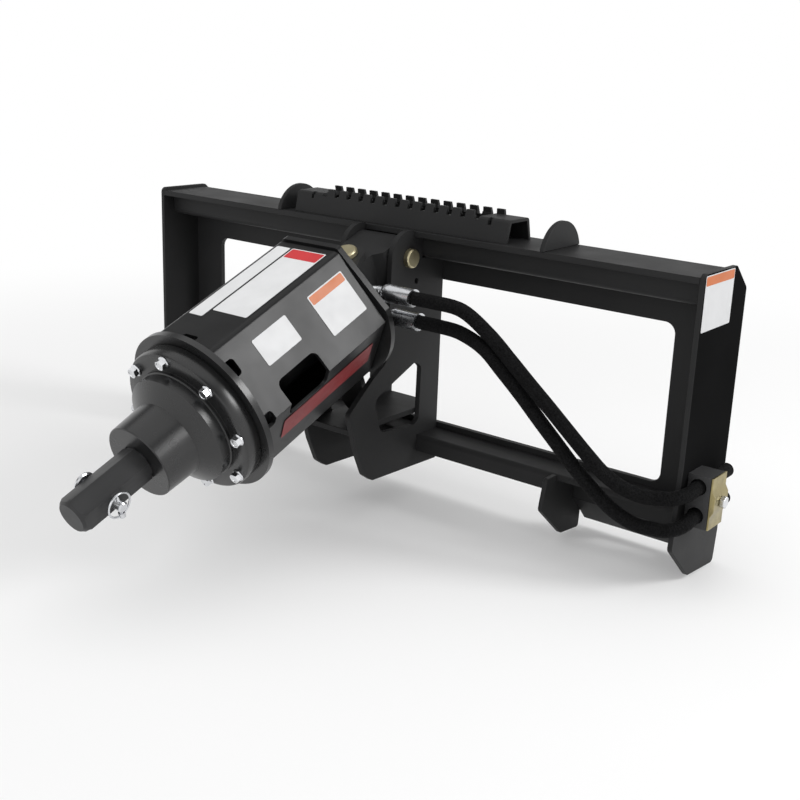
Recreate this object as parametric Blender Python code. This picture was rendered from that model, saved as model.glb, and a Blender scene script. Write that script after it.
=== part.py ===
"""Earth auger drive on a quick attach frame, built as separate named pieces.

Sizes are millimetres and MM turns them into scene metres.
Frame pieces use X along the frame width, Y toward the machine and Z up, measured from the
front edge and the bottom tip of the end plates. DATUM moves them so that the centre of the
main plate's rear face is the scene origin.
Drive pieces use A = X, B = square to the drive's axis and up, S = along the axis to the tip.
"""
import bmesh
import bpy
import math
from mathutils import Vector, geometry

MM = 0.001

# Frame
DATUM = (0.0, -95.5, -252.0)
CLEARANCE = 0.3
SHEET = 8.0
HALF_WIDTH = 571.5
END_INNER = HALF_WIDTH - SHEET
SPAN = END_INNER - CLEARANCE
MAIN_FRONT = 86.0
MAIN_REAR = 95.5
MAIN_BOTTOM = 57.0
MAIN_TOP = 463.7
WINDOW_MARGIN = 68.5
WINDOW_HALF = END_INNER - WINDOW_MARGIN
WINDOW_BOTTOM = 122.6
WINDOW_TOP = 381.0
WINDOW_RADIUS = 18.0
RAIL_FRONT = 25.0
RAIL_BOTTOM = 426.0
RAIL_RADIUS = 14.0
SILL_FRONT = 28.0
SILL_TOP = 112.0
SILL_LIP = 83.0
GUSSET_OFFSET = 231.5
GUSSET_MID = HALF_WIDTH - GUSSET_OFFSET
GUSSET_INNER = GUSSET_MID - SHEET / 2
GUSSET_OUTER = GUSSET_MID + SHEET / 2
FOOT_START = (86.0, 56.7)
FOOT_END = (131.0, 7.7)
SLOT_WIDTH = 62.0
SLOT_HEIGHT = 30.0
SLOT_CENTRE = (GUSSET_OUTER + END_INNER) / 2
STEP_LEFT = -223.0
STEP_RIGHT = 230.0
STEP_BASE = 473.8
STEP_TOP = 510.0
STEP_SHEET = 5.0
STEP_BEND = 7.0
TOOTH_PITCH = 27.0
TOOTH_COUNT = 14
TOOTH_TIP = 14.0
TOOTH_TOP = 518.0
VALLEY_FLOOR = 9.0
VALLEY_Z = 505.0
SLIT_WIDTH = 7.0
SLIT_Z = 499.0
STEP_OPEN = TOOTH_PITCH * (TOOTH_COUNT - 2) / 2
EAR_CENTRE = (52.0, 461.0)
EAR_RADIUS = 55.0
EAR_RIGHT = 300.0
EAR_LEFT = -254.0
CHEEK_OUTER = 57.0
CHEEK_INNER = 47.5
CHEEK_HEAD = 46.0
SHELF_TOP = 158.5
SHELF_THICK = 9.5
SHELF_FRONT = -141.0
SHELF_BACK = 85.7

# Lift pin, in frame Y and Z
LIFT_Y = -10.0
LIFT_Z = 430.0
LIFT_PIN_RADIUS = 16.0
LIFT_HEAD = 22.0
LIFT_PIN_END = 67.0
KEEPER_Y = 11.0
KEEPER_Z = 389.0
KEEPER_RADIUS = 5.0

# Hose clamp on the right end plate
CLAMP_INNER = HALF_WIDTH + CLEARANCE
CLAMP_WIDTH = 36.2
CLAMP_OUTER = CLAMP_INNER + CLAMP_WIDTH
COVER_SHEET = 3.0
COVER_RIDGE = 8.0
CLAMP_FRONT = 17.0
CLAMP_BACK = 62.0
CLAMP_BOTTOM = 98.0
CLAMP_TOP = 180.0
HOSE_X = CLAMP_INNER + 17.2
HOSE_UPPER_Z = 162.0
HOSE_LOWER_Z = 117.0
HOSE_RADIUS = 11.0
HOSE_HOLE = 12.6
HOSE_END_Y = 118.0

# Drive axis
DRIVE_Z = 421.0
DRIVE_TILT = 22.5
SWING_S = 90.0
SWING_PIN_RADIUS = 15.0
SWING_HEAD = 20.0
LINK_LOW = -22.0
LINK_HIGH = 46.0
LINK_HALF = 46.0
LINK_BLOCK_END = 50.0
TONGUE_HALF = 29.0
YOKE_THICK = 9.7
YOKE_HALF = 40.0
YOKE_REAR_RADIUS = 30.0
BACK_REAR = 150.0
BACK_FRONT = 160.0
BACK_TOP = 117.0
BACK_SHOULDER = 56.5
BACK_ROUND = 128.0
LEG_HALF = 28.0
LEG_TIP = -217.4
SHELL_REAR = 165.0
SHELL_FRONT = 446.7
SHELL_TOP = 114.0
SHELL_BOTTOM = -112.0
SHELL_SIDE = 125.0
SHELL_CORNER = 60.0
SHELL_WALL = 6.0
RING_REAR = 447.0
RING_FRONT = 457.0
RING_RADIUS = 132.0
CASE_RADIUS = 80.0
RING_BORE = CASE_RADIUS + 1.0
FLANGE_REAR = RING_FRONT + CLEARANCE
FLANGE_FRONT = 484.5
FLANGE_RADIUS = 117.5
BOLT_INSET = 11.2
BOLT_CIRCLE = FLANGE_RADIUS - BOLT_INSET
BOLT_COUNT = 8
BOLT_RADIUS = 5.0
BOLT_HEAD = 8.2
BOLT_WASHER = 9.8
BOLT_HOLE = 5.4
CASE_REAR = 430.0
HUB_RADIUS = 90.0
HUB_FRONT = 507.0
CONE_FRONT = 525.0
NOSE_END = 583.0
NOSE_RADIUS = 58.5
NOSE_LIP = 6.0
CARRIER_BORE = 66.5
REAR_SEAT = 46.0
REAR_SEAT_START = 449.0
REAR_SEAT_END = 476.0
NOSE_SEAT = 42.0
SEAL_SEAT = 38.0
SEAL_DEPTH = 12.0
BEARING_WIDTH = 25.4
SHAFT_RADIUS = 26.0
HEX_FLAT = 50.8
HEX_START = 584.0
HEX_END = 709.0
HEX_ROLL = -13.0
PIN_S = 655.0
PIN_RADIUS = 8.0
PIN_HOLE = 8.4
PIN_HEAD = 18.0
PIN_LEFT = -36.0
PIN_RIGHT = 45.0
LYNCH_OFFSET = 36.0
LYNCH_RADIUS = 2.3
LYNCH_RING = 19.0
LYNCH_WIRE = 1.6

# Planetary stage
COVER_FRONT = 397.7
MODULE = 3.0
PRESSURE = 25.0
ADDENDUM = 0.8
DEDENDUM = 1.12
BACKLASH = 0.45
SUN_TEETH = 12
PLANET_TEETH = 15
RING_TEETH = 42
GEAR_REAR = 404.0
GEAR_FRONT = 427.0
CARRIER_REAR = 431.0
CARRIER_FRONT = 445.0
CARRIER_RADIUS = 64.0
PLANET_PIN = 8.0
MOTOR_SHAFT = 9.0
MOTOR_RADIUS = 56.0
NECK_RADIUS = 48.0
NECK_REAR = 330.0
NECK_FRONT = 360.0
PORT_HALF = 56.0
PORT_LEFT = -52.0
PORT_RIGHT = 78.0
SUN_SHAFT_REAR = 240.0
PORT_REAR = 200.0
PORT_FRONT = 232.0
ORBIT = MODULE * (SUN_TEETH + PLANET_TEETH) / 2

BLACK = (0.018, 0.019, 0.021)
ZINC = (0.62, 0.63, 0.65)
GOLD = (0.62, 0.55, 0.34)
STEEL = (0.45, 0.46, 0.48)
RUBBER = (0.012, 0.012, 0.013)

for old in list(bpy.data.objects):
    bpy.data.objects.remove(old, do_unlink=True)


# Empties that carry the joint axes
def add_empty(name, parent, location, turn=0.0):
    empty = bpy.data.objects.new(name, None)
    bpy.context.scene.collection.objects.link(empty)
    empty.parent = parent
    empty.location = Vector(location) * MM
    empty.rotation_euler = (math.radians(turn), 0.0, 0.0)
    return empty


def frame_point(a, b, s):
    tilt = math.radians(DRIVE_TILT)
    y = -math.cos(tilt) * s - math.sin(tilt) * b
    z = DRIVE_Z - math.sin(tilt) * s + math.cos(tilt) * b
    return (a, y, z)


def drive_coordinates(y, z):
    tilt = math.radians(DRIVE_TILT)
    dz = z - DRIVE_Z
    s = -math.cos(tilt) * y - math.sin(tilt) * dz
    b = -math.sin(tilt) * y + math.cos(tilt) * dz
    return (b, s)


LIFT_B, LIFT_S = drive_coordinates(LIFT_Y, LIFT_Z)
AXIS_TURN = 90.0 + DRIVE_TILT
datum = add_empty("datum", None, DATUM)
lift_axis = add_empty("lift_axis", datum, (0.0, LIFT_Y, LIFT_Z), AXIS_TURN)
swing_axis = add_empty("swing_axis", lift_axis, (0.0, -LIFT_B, SWING_S - LIFT_S))
spin_axis = add_empty("spin_axis", swing_axis, (0.0, 0.0, GEAR_REAR - SWING_S))
FRAME = (datum, Vector((0.0, 0.0, 0.0)))
LINK = (lift_axis, Vector((0.0, LIFT_B, LIFT_S)))
DRIVE = (swing_axis, Vector((0.0, 0.0, SWING_S)))
SPIN = (spin_axis, Vector((0.0, 0.0, GEAR_REAR)))


# Flat outlines
def rounded(corners, step=18.0):
    """Outline from (x, y, radius) corners, each arc cut into steps of about the angle given."""
    points = []
    count = len(corners)
    for i in range(count):
        x, y, radius = corners[i]
        here = Vector((x, y))
        before = Vector(corners[i - 1][:2])
        after = Vector(corners[(i + 1) % count][:2])
        if radius <= 0:
            points.append((x, y))
            continue
        u = (before - here).normalized()
        w = (after - here).normalized()
        corner = math.acos(max(-1.0, min(1.0, u.dot(w))))
        reach = radius / math.tan(corner / 2)
        centre = here + (u + w).normalized() * (radius / math.sin(corner / 2))
        start = here + u * reach - centre
        end = here + w * reach - centre
        turn = start.angle_signed(end)
        cuts = max(1, math.ceil(abs(math.degrees(turn)) / step))
        first = math.atan2(start.y, start.x)
        for k in range(cuts + 1):
            angle = first - turn * k / cuts
            points.append((centre.x + radius * math.cos(angle),
                           centre.y + radius * math.sin(angle)))
    return points


def arc(cx, cy, radius, start, end, cuts):
    """Points from start to end degrees, both ends included."""
    points = []
    for k in range(cuts + 1):
        angle = math.radians(start + (end - start) * k / cuts)
        points.append((cx + radius * math.cos(angle), cy + radius * math.sin(angle)))
    return points


def sharp(points):
    return [(x, y, 0.0) for x, y in points]


def ring(cx, cy, radius, cuts=24):
    return arc(cx, cy, radius, 0.0, 360.0 * (cuts - 1) / cuts, cuts - 1)


def hexagon(cx, cy, flat, roll=0.0):
    return arc(cx, cy, flat / math.sqrt(3.0), roll + 30.0, roll + 330.0, 5)


# Bodies as (vertices, faces), joined freely before they become an object
def prism(outline, low, high, place, holes=()):
    """Outline with holes swept from low to high; place turns (x, y, height) into 3D."""
    loops = [outline] + list(holes)
    flat = [p for loop in loops for p in loop]
    loops_3d = [[Vector((x, y, 0.0)) for x, y in loop] for loop in loops]
    triangles = geometry.tessellate_polygon(loops_3d)
    total = len(flat)
    vertices = [place(x, y, low) for x, y in flat] + [place(x, y, high) for x, y in flat]
    faces = []
    for a, b, c in triangles:
        faces.append((a, b, c))
        faces.append((c + total, b + total, a + total))
    first = 0
    for loop in loops:
        size = len(loop)
        for k in range(size):
            p = first + k
            q = first + (k + 1) % size
            faces.append((p, q, q + total, p + total))
        first += size
    return vertices, faces


def turned(profile, cuts, place, closed=False):
    """Profile of (radius, height) swept round the axis; closed for a ring section."""
    vertices = []
    rows = []
    for radius, height in profile:
        if radius == 0:
            rows.append([len(vertices)])
            vertices.append(place(0.0, 0.0, height))
            continue
        rows.append(list(range(len(vertices), len(vertices) + cuts)))
        for k in range(cuts):
            angle = 2 * math.pi * k / cuts
            vertices.append(place(radius * math.cos(angle), radius * math.sin(angle), height))
    pairs = list(zip(rows, rows[1:]))
    if closed:
        pairs.append((rows[-1], rows[0]))
    faces = []
    for low, high in pairs:
        for k in range(cuts):
            n = (k + 1) % cuts
            if len(low) == 1 and len(high) == 1:
                continue
            if len(low) == 1:
                faces.append((low[0], high[n], high[k]))
            elif len(high) == 1:
                faces.append((low[k], low[n], high[0]))
            else:
                faces.append((low[k], low[n], high[n], high[k]))
    return vertices, faces


def loft(sections, place):
    """Solid through sections of equal point count, each (points, height)."""
    size = len(sections[0][0])
    vertices = []
    for points, height in sections:
        vertices += [place(x, y, height) for x, y in points]
    faces = []
    for row in range(len(sections) - 1):
        base = row * size
        for k in range(size):
            n = (k + 1) % size
            faces.append((base + k, base + n, base + n + size, base + k + size))
    last = (len(sections) - 1) * size
    faces.append(tuple(range(size)))
    faces.append(tuple(last + k for k in range(size)))
    return vertices, faces


def pipe(path, radius, cuts, closed=False):
    """Round bar along a path of 3D points in millimetres."""
    points = [Vector(p) for p in path]
    count = len(points)
    vertices = []
    side = None
    for i in range(count):
        if closed:
            along = points[(i + 1) % count] - points[i - 1]
        else:
            along = points[min(i + 1, count - 1)] - points[max(i - 1, 0)]
        along.normalize()
        if side is None:
            side = along.orthogonal().normalized()
        side = (side - along * side.dot(along)).normalized()
        up = along.cross(side)
        for k in range(cuts):
            angle = 2 * math.pi * k / cuts
            vertices.append(points[i] + radius * (math.cos(angle) * side + math.sin(angle) * up))
    faces = []
    rows = count if closed else count - 1
    for i in range(rows):
        low = i * cuts
        high = ((i + 1) % count) * cuts
        for k in range(cuts):
            n = (k + 1) % cuts
            faces.append((low + k, low + n, high + n, high + k))
    if not closed:
        faces.append(tuple(range(cuts)))
        faces.append(tuple((count - 1) * cuts + k for k in range(cuts)))
    return vertices, faces


def along_x(y, z, x):
    return Vector((x, y, z))


def along_y(x, z, y):
    return Vector((x, y, z))


def along_z(x, y, z):
    return Vector((x, y, z))


def shifted(place, dx, dy, dz):
    offset = Vector((dx, dy, dz))
    return lambda x, y, h: place(x, y, h) + offset


def add_material(name, colour, roughness, metallic):
    material = bpy.data.materials.new(name)
    material.use_nodes = True
    shader = material.node_tree.nodes["Principled BSDF"]
    shader.inputs["Base Color"].default_value = (*colour, 1.0)
    shader.inputs["Roughness"].default_value = roughness
    shader.inputs["Metallic"].default_value = metallic
    return material


LOOKS = {
    "paint": (BLACK, 0.42, 0.0),
    "zinc": (ZINC, 0.3, 1.0),
    "gold": (GOLD, 0.35, 1.0),
    "steel": (STEEL, 0.35, 1.0),
    "rubber": (RUBBER, 0.7, 0.0),
}


def add_piece(name, where, look, bodies, smooth=False):
    """One object from its bodies, held by the empty of the body that it moves with."""
    parent, origin = where
    vertices = []
    faces = []
    for points, polygons in bodies:
        base = len(vertices)
        vertices += [(p - origin) * MM for p in points]
        faces += [tuple(base + k for k in polygon) for polygon in polygons]
    mesh = bpy.data.meshes.new(name)
    mesh.from_pydata([tuple(p) for p in vertices], [], faces)
    piece = bpy.data.objects.new(name, mesh)
    bpy.context.scene.collection.objects.link(piece)
    piece.parent = parent
    face_outward(mesh)
    mesh.materials.append(add_material(name, *LOOKS[look]))
    if smooth:
        mesh.shade_smooth()
        mesh.set_sharp_from_angle(angle=math.radians(35.0))
    return piece


def face_outward(mesh):
    work = bmesh.new()
    work.from_mesh(mesh)
    bmesh.ops.recalc_face_normals(work, faces=work.faces)
    work.to_mesh(mesh)
    work.free()


def cut(piece, name, bodies, where):
    """Boolean difference with a hidden cutter built from bodies that don't touch."""
    cutter = add_piece(name, where, "paint", bodies)
    cutter.hide_render = True
    cutter.display_type = "WIRE"
    modifier = piece.modifiers.new(name, "BOOLEAN")
    modifier.operation = "DIFFERENCE"
    modifier.solver = "EXACT"
    modifier.object = cutter
    return modifier


def add_to(piece, name, bodies, where):
    modifier = cut(piece, name, bodies, where)
    modifier.operation = "UNION"


def keep_common(piece, name, bodies, where):
    modifier = cut(piece, name, bodies, where)
    modifier.operation = "INTERSECT"


def box(x0, x1, y0, y1, z0, z1):
    return prism([(x0, y0), (x1, y0), (x1, y1), (x0, y1)], z0, z1, along_z)


# End plates of the frame, with the hook corner at the top and the wedge corner below
END_OUTLINE = rounded([(0, 479, 9), (109, 478, 7), (152, 440, 9), (153, 45, 60),
                       (147, -8, 8), (55, 0, 12), (-12, 62, 10), (-2, 192, 60)])
add_piece("end_plate_left", FRAME, "paint",
          [prism(END_OUTLINE, -HALF_WIDTH, -END_INNER, along_x)])
add_piece("end_plate_right", FRAME, "paint",
          [prism(END_OUTLINE, END_INNER, HALF_WIDTH, along_x)])

# Main plate with its one wide window, which the centre plates divide
WINDOW = rounded([(x, z, WINDOW_RADIUS)
                  for x, z in [(-WINDOW_HALF, WINDOW_BOTTOM), (WINDOW_HALF, WINDOW_BOTTOM),
                               (WINDOW_HALF, WINDOW_TOP), (-WINDOW_HALF, WINDOW_TOP)]])
MAIN_OUTLINE = [(-SPAN, MAIN_BOTTOM), (SPAN, MAIN_BOTTOM), (SPAN, MAIN_TOP), (-SPAN, MAIN_TOP)]
add_piece("attach_plate", FRAME, "paint",
          [prism(MAIN_OUTLINE, MAIN_FRONT, MAIN_REAR, along_y, [WINDOW])])

LIP_OUTLINE = [(0, 473.5), (0, 464), (100, 464), (134.5, 434.5), (141, 429), (147, 436),
               (104, 473.5)]
add_piece("top_lip", FRAME, "paint", [prism(LIP_OUTLINE, -SPAN, SPAN, along_x)])

RAIL_INNER = RAIL_FRONT + SHEET
RAIL_BACK = MAIN_FRONT - CLEARANCE
RAIL_OUTLINE = rounded([(RAIL_FRONT, MAIN_TOP, 0), (RAIL_FRONT, RAIL_BOTTOM, RAIL_RADIUS),
                        (RAIL_BACK, RAIL_BOTTOM, 0), (RAIL_BACK, RAIL_BOTTOM + SHEET, 0),
                        (RAIL_INNER, RAIL_BOTTOM + SHEET, RAIL_RADIUS - SHEET),
                        (RAIL_INNER, MAIN_TOP, 0)])
add_piece("top_rail", FRAME, "paint", [prism(RAIL_OUTLINE, -SPAN, SPAN, along_x)])

# Bottom rail: a shelf across the width, its lip folded down between the inner gussets
SILL_INNER = GUSSET_INNER - CLEARANCE
SILL_OUTLINE = rounded([(SILL_FRONT, SILL_LIP, 0), (SILL_FRONT + SHEET, SILL_LIP, 0),
                        (SILL_FRONT + SHEET, SILL_TOP - SHEET, 0),
                        (RAIL_BACK, SILL_TOP - SHEET, 0), (RAIL_BACK, SILL_TOP, 0),
                        (SILL_FRONT, SILL_TOP, 9)])
bottom_rail = add_piece("bottom_rail", FRAME, "paint",
                        [prism(SILL_OUTLINE, -SPAN, SPAN, along_x)])
cut(bottom_rail, "cut_sill_lip",
    [box(SILL_INNER, SPAN + 5, SILL_FRONT - 5, SILL_FRONT + SHEET + 5, SILL_LIP - 5,
         SILL_TOP - SHEET),
     box(-SPAN - 5, -SILL_INNER, SILL_FRONT - 5, SILL_FRONT + SHEET + 5, SILL_LIP - 5,
         SILL_TOP - SHEET)], FRAME)

GUSSET_FRONT = SILL_FRONT - CLEARANCE
GUSSET_ROOF = SILL_TOP - SHEET - CLEARANCE
GUSSET_BACK = MAIN_FRONT - CLEARANCE
GUSSET_STEP = MAIN_BOTTOM - CLEARANCE
GUSSET_OUTLINE = rounded([(0, 113, 6), (GUSSET_FRONT, 113, 0), (GUSSET_FRONT, GUSSET_ROOF, 0),
                          (GUSSET_BACK, GUSSET_ROOF, 0), (GUSSET_BACK, GUSSET_STEP, 0),
                          (116, GUSSET_STEP, 6), (112, -3, 6), (55, 3, 10), (-12, 62, 9)])
add_piece("inner_gusset_left", FRAME, "paint",
          [prism(GUSSET_OUTLINE, -GUSSET_OUTER, -GUSSET_INNER, along_x)])
add_piece("inner_gusset_right", FRAME, "paint",
          [prism(GUSSET_OUTLINE, GUSSET_INNER, GUSSET_OUTER, along_x)])


# Latch feet: sloping plates below the main plate, each with the slot for the machine's wedge
def add_foot(name, side):
    start = Vector(FOOT_START)
    run = Vector(FOOT_END) - start
    length = run.length
    run.normalize()
    square = Vector((-run.y, run.x))
    x0 = GUSSET_OUTER + CLEARANCE
    lead = square.y * SHEET / -run.y
    outline = [(x0, 0.0), (SPAN, 0.0), (SPAN, length), (x0, length)]
    low = SLOT_CENTRE - SLOT_WIDTH / 2
    mid = length * 0.52
    slot = rounded([(low, mid - SLOT_HEIGHT / 2, 6), (low + SLOT_WIDTH, mid - SLOT_HEIGHT / 2, 6),
                    (low + SLOT_WIDTH, mid + SLOT_HEIGHT / 2, 6), (low, mid + SLOT_HEIGHT / 2, 6)])

    def place(x, v, height):
        if v == 0.0 and height > 0.0:
            v = lead
        point = start + run * v + square * height
        return Vector((side * x, point.x, point.y))

    add_piece(name, FRAME, "paint", [prism(outline, 0.0, SHEET, place, [slot])])


add_foot("latch_foot_left", -1)
add_foot("latch_foot_right", 1)

# Step channel: its walls stand above the open top sheet as grip teeth
STEP_DRAFT = 8.0
STEP_FRONT = (12.0, 20.0)
STEP_BACK = (83.0, 75.0)
STEP_MIDDLE = (STEP_LEFT + STEP_RIGHT) / 2
STEP_INSIDE = STEP_TOP - STEP_SHEET
step_grip = add_piece("step_grip", FRAME, "paint", [prism(rounded(
    [(STEP_FRONT[0], STEP_BASE, 0), (STEP_FRONT[1], STEP_TOP, STEP_BEND),
     (STEP_BACK[1], STEP_TOP, STEP_BEND), (STEP_BACK[0], STEP_BASE, 0),
     (STEP_BACK[0] - STEP_SHEET, STEP_BASE, 0),
     (STEP_BACK[1] - STEP_SHEET, STEP_INSIDE, STEP_BEND - STEP_SHEET),
     (STEP_FRONT[1] + STEP_SHEET, STEP_INSIDE, STEP_BEND - STEP_SHEET),
     (STEP_FRONT[0] + STEP_SHEET, STEP_BASE, 0)]), STEP_LEFT, STEP_RIGHT, along_x)])


def wall_strip(side, half):
    """Upper part of a wall, up to the tooth tips, within half of the step's middle."""
    low = STEP_TOP - STEP_BEND - 3
    lean = (STEP_FRONT[1] - STEP_FRONT[0]) / (STEP_TOP - STEP_BASE) * side
    foot = (STEP_FRONT[1] if side > 0 else STEP_BACK[1]) - lean * (STEP_TOP - low)
    tip = foot + lean * (TOOTH_TOP - low)
    thick = STEP_SHEET * side
    return prism([(foot, low), (tip, TOOTH_TOP), (tip + thick, TOOTH_TOP), (foot + thick, low)],
                 STEP_MIDDLE - half, STEP_MIDDLE + half, along_x)


add_to(step_grip, "step_walls", [
    wall_strip(1, STEP_OPEN),
    wall_strip(-1, STEP_OPEN + TOOTH_PITCH / 2 + TOOTH_TIP / 2)], FRAME)
cut(step_grip, "cut_step_top", [
    box(STEP_MIDDLE - STEP_OPEN, STEP_MIDDLE + STEP_OPEN, STEP_FRONT[1] + STEP_BEND,
        STEP_BACK[1] - STEP_BEND, STEP_INSIDE - 3, TOOTH_TOP + 3)], FRAME)


def valley(x, floor, low):
    """Gap between two teeth at x, cut through both walls."""
    gap = (TOOTH_PITCH - TOOTH_TIP) / 2
    return prism([(x - floor / 2, low), (x + floor / 2, low), (x + gap, TOOTH_TOP + 2),
                  (x - gap, TOOTH_TOP + 2)], STEP_FRONT[0], STEP_BACK[0], along_y)


VALLEYS = [STEP_MIDDLE + (k - (TOOTH_COUNT - 2) / 2) * TOOTH_PITCH
           for k in range(TOOTH_COUNT - 1)]
cut(step_grip, "cut_step_valleys", [valley(x, VALLEY_FLOOR, VALLEY_Z) for x in VALLEYS], FRAME)
cut(step_grip, "cut_step_slits", [
    box(x - SLIT_WIDTH / 2, x + SLIT_WIDTH / 2, STEP_FRONT[0], STEP_FRONT[1] + STEP_BEND,
        SLIT_Z, TOOTH_TOP + 3)
    for x in (VALLEYS[0] - TOOTH_PITCH, VALLEYS[-1] + TOOTH_PITCH)], FRAME)


# Step ends: round ears beside the channel
def add_ear(name, x0):
    half = math.degrees(math.asin((STEP_BASE - EAR_CENTRE[1]) / EAR_RADIUS))
    outline = arc(EAR_CENTRE[0], EAR_CENTRE[1], EAR_RADIUS, half, 180.0 - half, 14)
    add_piece(name, FRAME, "paint", [prism(outline, x0, x0 + SHEET, along_x)])


add_ear("ear_left", EAR_LEFT)
add_ear("ear_right", EAR_RIGHT)

# Centre plates, cut round the two rails and under the top lip
CHEEK_OUTLINE = rounded(
    sharp(arc(LIFT_Y, LIFT_Z, CHEEK_HEAD, 77.8, 180.0, 9))
    + [(-60, 262, 20), (-95, 239, 12), (-155, 189, 12), (-133, 119, 14), (-113, 75, 14),
       (-91, 60, 12), (85.7, 55, 0), (85.7, GUSSET_ROOF, 0),
       (SILL_FRONT + SHEET + CLEARANCE, GUSSET_ROOF, 0),
       (SILL_FRONT + SHEET + CLEARANCE, SILL_LIP - CLEARANCE, 0),
       (GUSSET_FRONT, SILL_LIP - CLEARANCE, 0), (GUSSET_FRONT, SILL_TOP + CLEARANCE, 0),
       (85.7, SILL_TOP + CLEARANCE, 0), (85.7, RAIL_BOTTOM - CLEARANCE, 0),
       (RAIL_FRONT - CLEARANCE, RAIL_BOTTOM - CLEARANCE, 0),
       (RAIL_FRONT - CLEARANCE, MAIN_TOP, 0), (-CLEARANCE, MAIN_TOP, 0)])
CHEEK_HOLE = rounded([(18, 247.5, 9), (34, 235.5, 9), (32, 132, 16), (-72, 140, 16),
                      (-91, 201, 16)])
CHEEK_HOLES = [CHEEK_HOLE, ring(LIFT_Y, LIFT_Z, LIFT_PIN_RADIUS + CLEARANCE, 24),
               ring(KEEPER_Y, KEEPER_Z, KEEPER_RADIUS, 12)]
add_piece("centre_plate_left", FRAME, "paint",
          [prism(CHEEK_OUTLINE, -CHEEK_OUTER, -CHEEK_INNER, along_x, CHEEK_HOLES)])
add_piece("centre_plate_right", FRAME, "paint",
          [prism(CHEEK_OUTLINE, CHEEK_INNER, CHEEK_OUTER, along_x, CHEEK_HOLES)])
SHELF_HALF = CHEEK_INNER - CLEARANCE
add_piece("cradle_shelf", FRAME, "paint",
          [box(-SHELF_HALF, SHELF_HALF, SHELF_FRONT, SHELF_BACK, SHELF_TOP - SHELF_THICK,
               SHELF_TOP)])

# Lift pin, headed on the left
add_piece("lift_pin", FRAME, "gold", [turned(
    [(0, -LIFT_PIN_END), (LIFT_HEAD - 2, -LIFT_PIN_END), (LIFT_HEAD, -LIFT_PIN_END + 2),
     (LIFT_HEAD, -CHEEK_OUTER - CLEARANCE), (LIFT_PIN_RADIUS, -CHEEK_OUTER - CLEARANCE),
     (LIFT_PIN_RADIUS, LIFT_PIN_END - 2), (LIFT_PIN_RADIUS - 2, LIFT_PIN_END),
     (0, LIFT_PIN_END)], 32,
    shifted(along_x, 0, LIFT_Y, LIFT_Z))], smooth=True)

# Hose clamp
HOLES = [ring(HOSE_X, HOSE_UPPER_Z, HOSE_HOLE, 24), ring(HOSE_X, HOSE_LOWER_Z, HOSE_HOLE, 24)]
add_piece("clamp_block", FRAME, "rubber", [prism(
    [(CLAMP_INNER, CLAMP_BOTTOM), (CLAMP_OUTER, CLAMP_BOTTOM), (CLAMP_OUTER, CLAMP_TOP),
     (CLAMP_INNER, CLAMP_TOP)], CLAMP_FRONT, CLAMP_BACK, along_y, HOLES)])
COVER_INNER = CLAMP_OUTER + CLEARANCE
COVER_OUTER = COVER_INNER + COVER_SHEET
RIDGE_FACE = COVER_INNER + COVER_RIDGE
CLAMP_MID = (HOSE_UPPER_Z + HOSE_LOWER_Z) / 2
add_piece("clamp_cover", FRAME, "gold", [prism(
    [(COVER_INNER, CLAMP_BOTTOM), (COVER_OUTER, CLAMP_BOTTOM), (COVER_OUTER, CLAMP_MID - 20.5),
     (RIDGE_FACE, CLAMP_MID - 11.5), (RIDGE_FACE, CLAMP_MID + 11.5),
     (COVER_OUTER, CLAMP_MID + 20.5), (COVER_OUTER, CLAMP_TOP), (COVER_INNER, CLAMP_TOP)],
    CLAMP_FRONT, CLAMP_BACK + COVER_SHEET, along_y)])
add_piece("clamp_bolt", FRAME, "zinc", [
    prism(hexagon(43, CLAMP_MID, 17), RIDGE_FACE + CLEARANCE, RIDGE_FACE + 7.5, along_x)])


# Hydraulic hoses from the port fittings to the clamp
def add_hose(name, route):
    smooth = curve_through(route)
    curve = bpy.data.curves.new(name, "CURVE")
    curve.dimensions = "3D"
    curve.bevel_depth = HOSE_RADIUS * MM
    curve.bevel_resolution = 2
    curve.use_fill_caps = True
    spline = curve.splines.new("POLY")
    spline.points.add(len(smooth) - 1)
    for point, place in zip(spline.points, smooth):
        point.co = (place.x * MM, place.y * MM, place.z * MM, 1.0)
    hose = bpy.data.objects.new(name, curve)
    bpy.context.scene.collection.objects.link(hose)
    hose.parent = datum
    curve.materials.append(add_material(name, *LOOKS["rubber"]))
    return hose


def curve_through(route, spacing=26.0):
    """Catmull Rom curve through the route, as evenly spaced points."""
    points = [Vector(p) for p in route]
    dense = []
    for i in range(len(points) - 1):
        p0 = points[max(i - 1, 0)]
        p1 = points[i]
        p2 = points[i + 1]
        p3 = points[min(i + 2, len(points) - 1)]
        for k in range(24):
            t = k / 24
            dense.append(0.5 * (2 * p1 + (p2 - p0) * t + (2 * p0 - 5 * p1 + 4 * p2 - p3) * t ** 2
                                + (3 * p1 - p0 - 3 * p2 + p3) * t ** 3))
    dense.append(points[-1])
    length = sum((b - a).length for a, b in zip(dense, dense[1:]))
    count = max(2, round(length / spacing))
    result = [dense[0]]
    walked = 0.0
    for a, b in zip(dense, dense[1:]):
        walked += (b - a).length
        while walked >= length * len(result) / count and len(result) < count:
            result.append(b)
    result.append(dense[-1])
    return result


FERRULE_START = 78.0
FERRULE_RADIUS = 15.2
FERRULE_NECK = 11.0
FERRULE_END = 148.0
UPPER_PORT = (17.0, 115.0)
LOWER_PORT = (-27.0, 115.0)
PORT_OFFSET = UPPER_PORT[1] - SWING_S
FERRULE_REACH = math.hypot(FERRULE_END, PORT_OFFSET)
FERRULE_TIP = math.sqrt(FERRULE_REACH ** 2 - (PORT_OFFSET - FERRULE_RADIUS) ** 2)
HOSE_START = FERRULE_TIP + CLEARANCE


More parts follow.
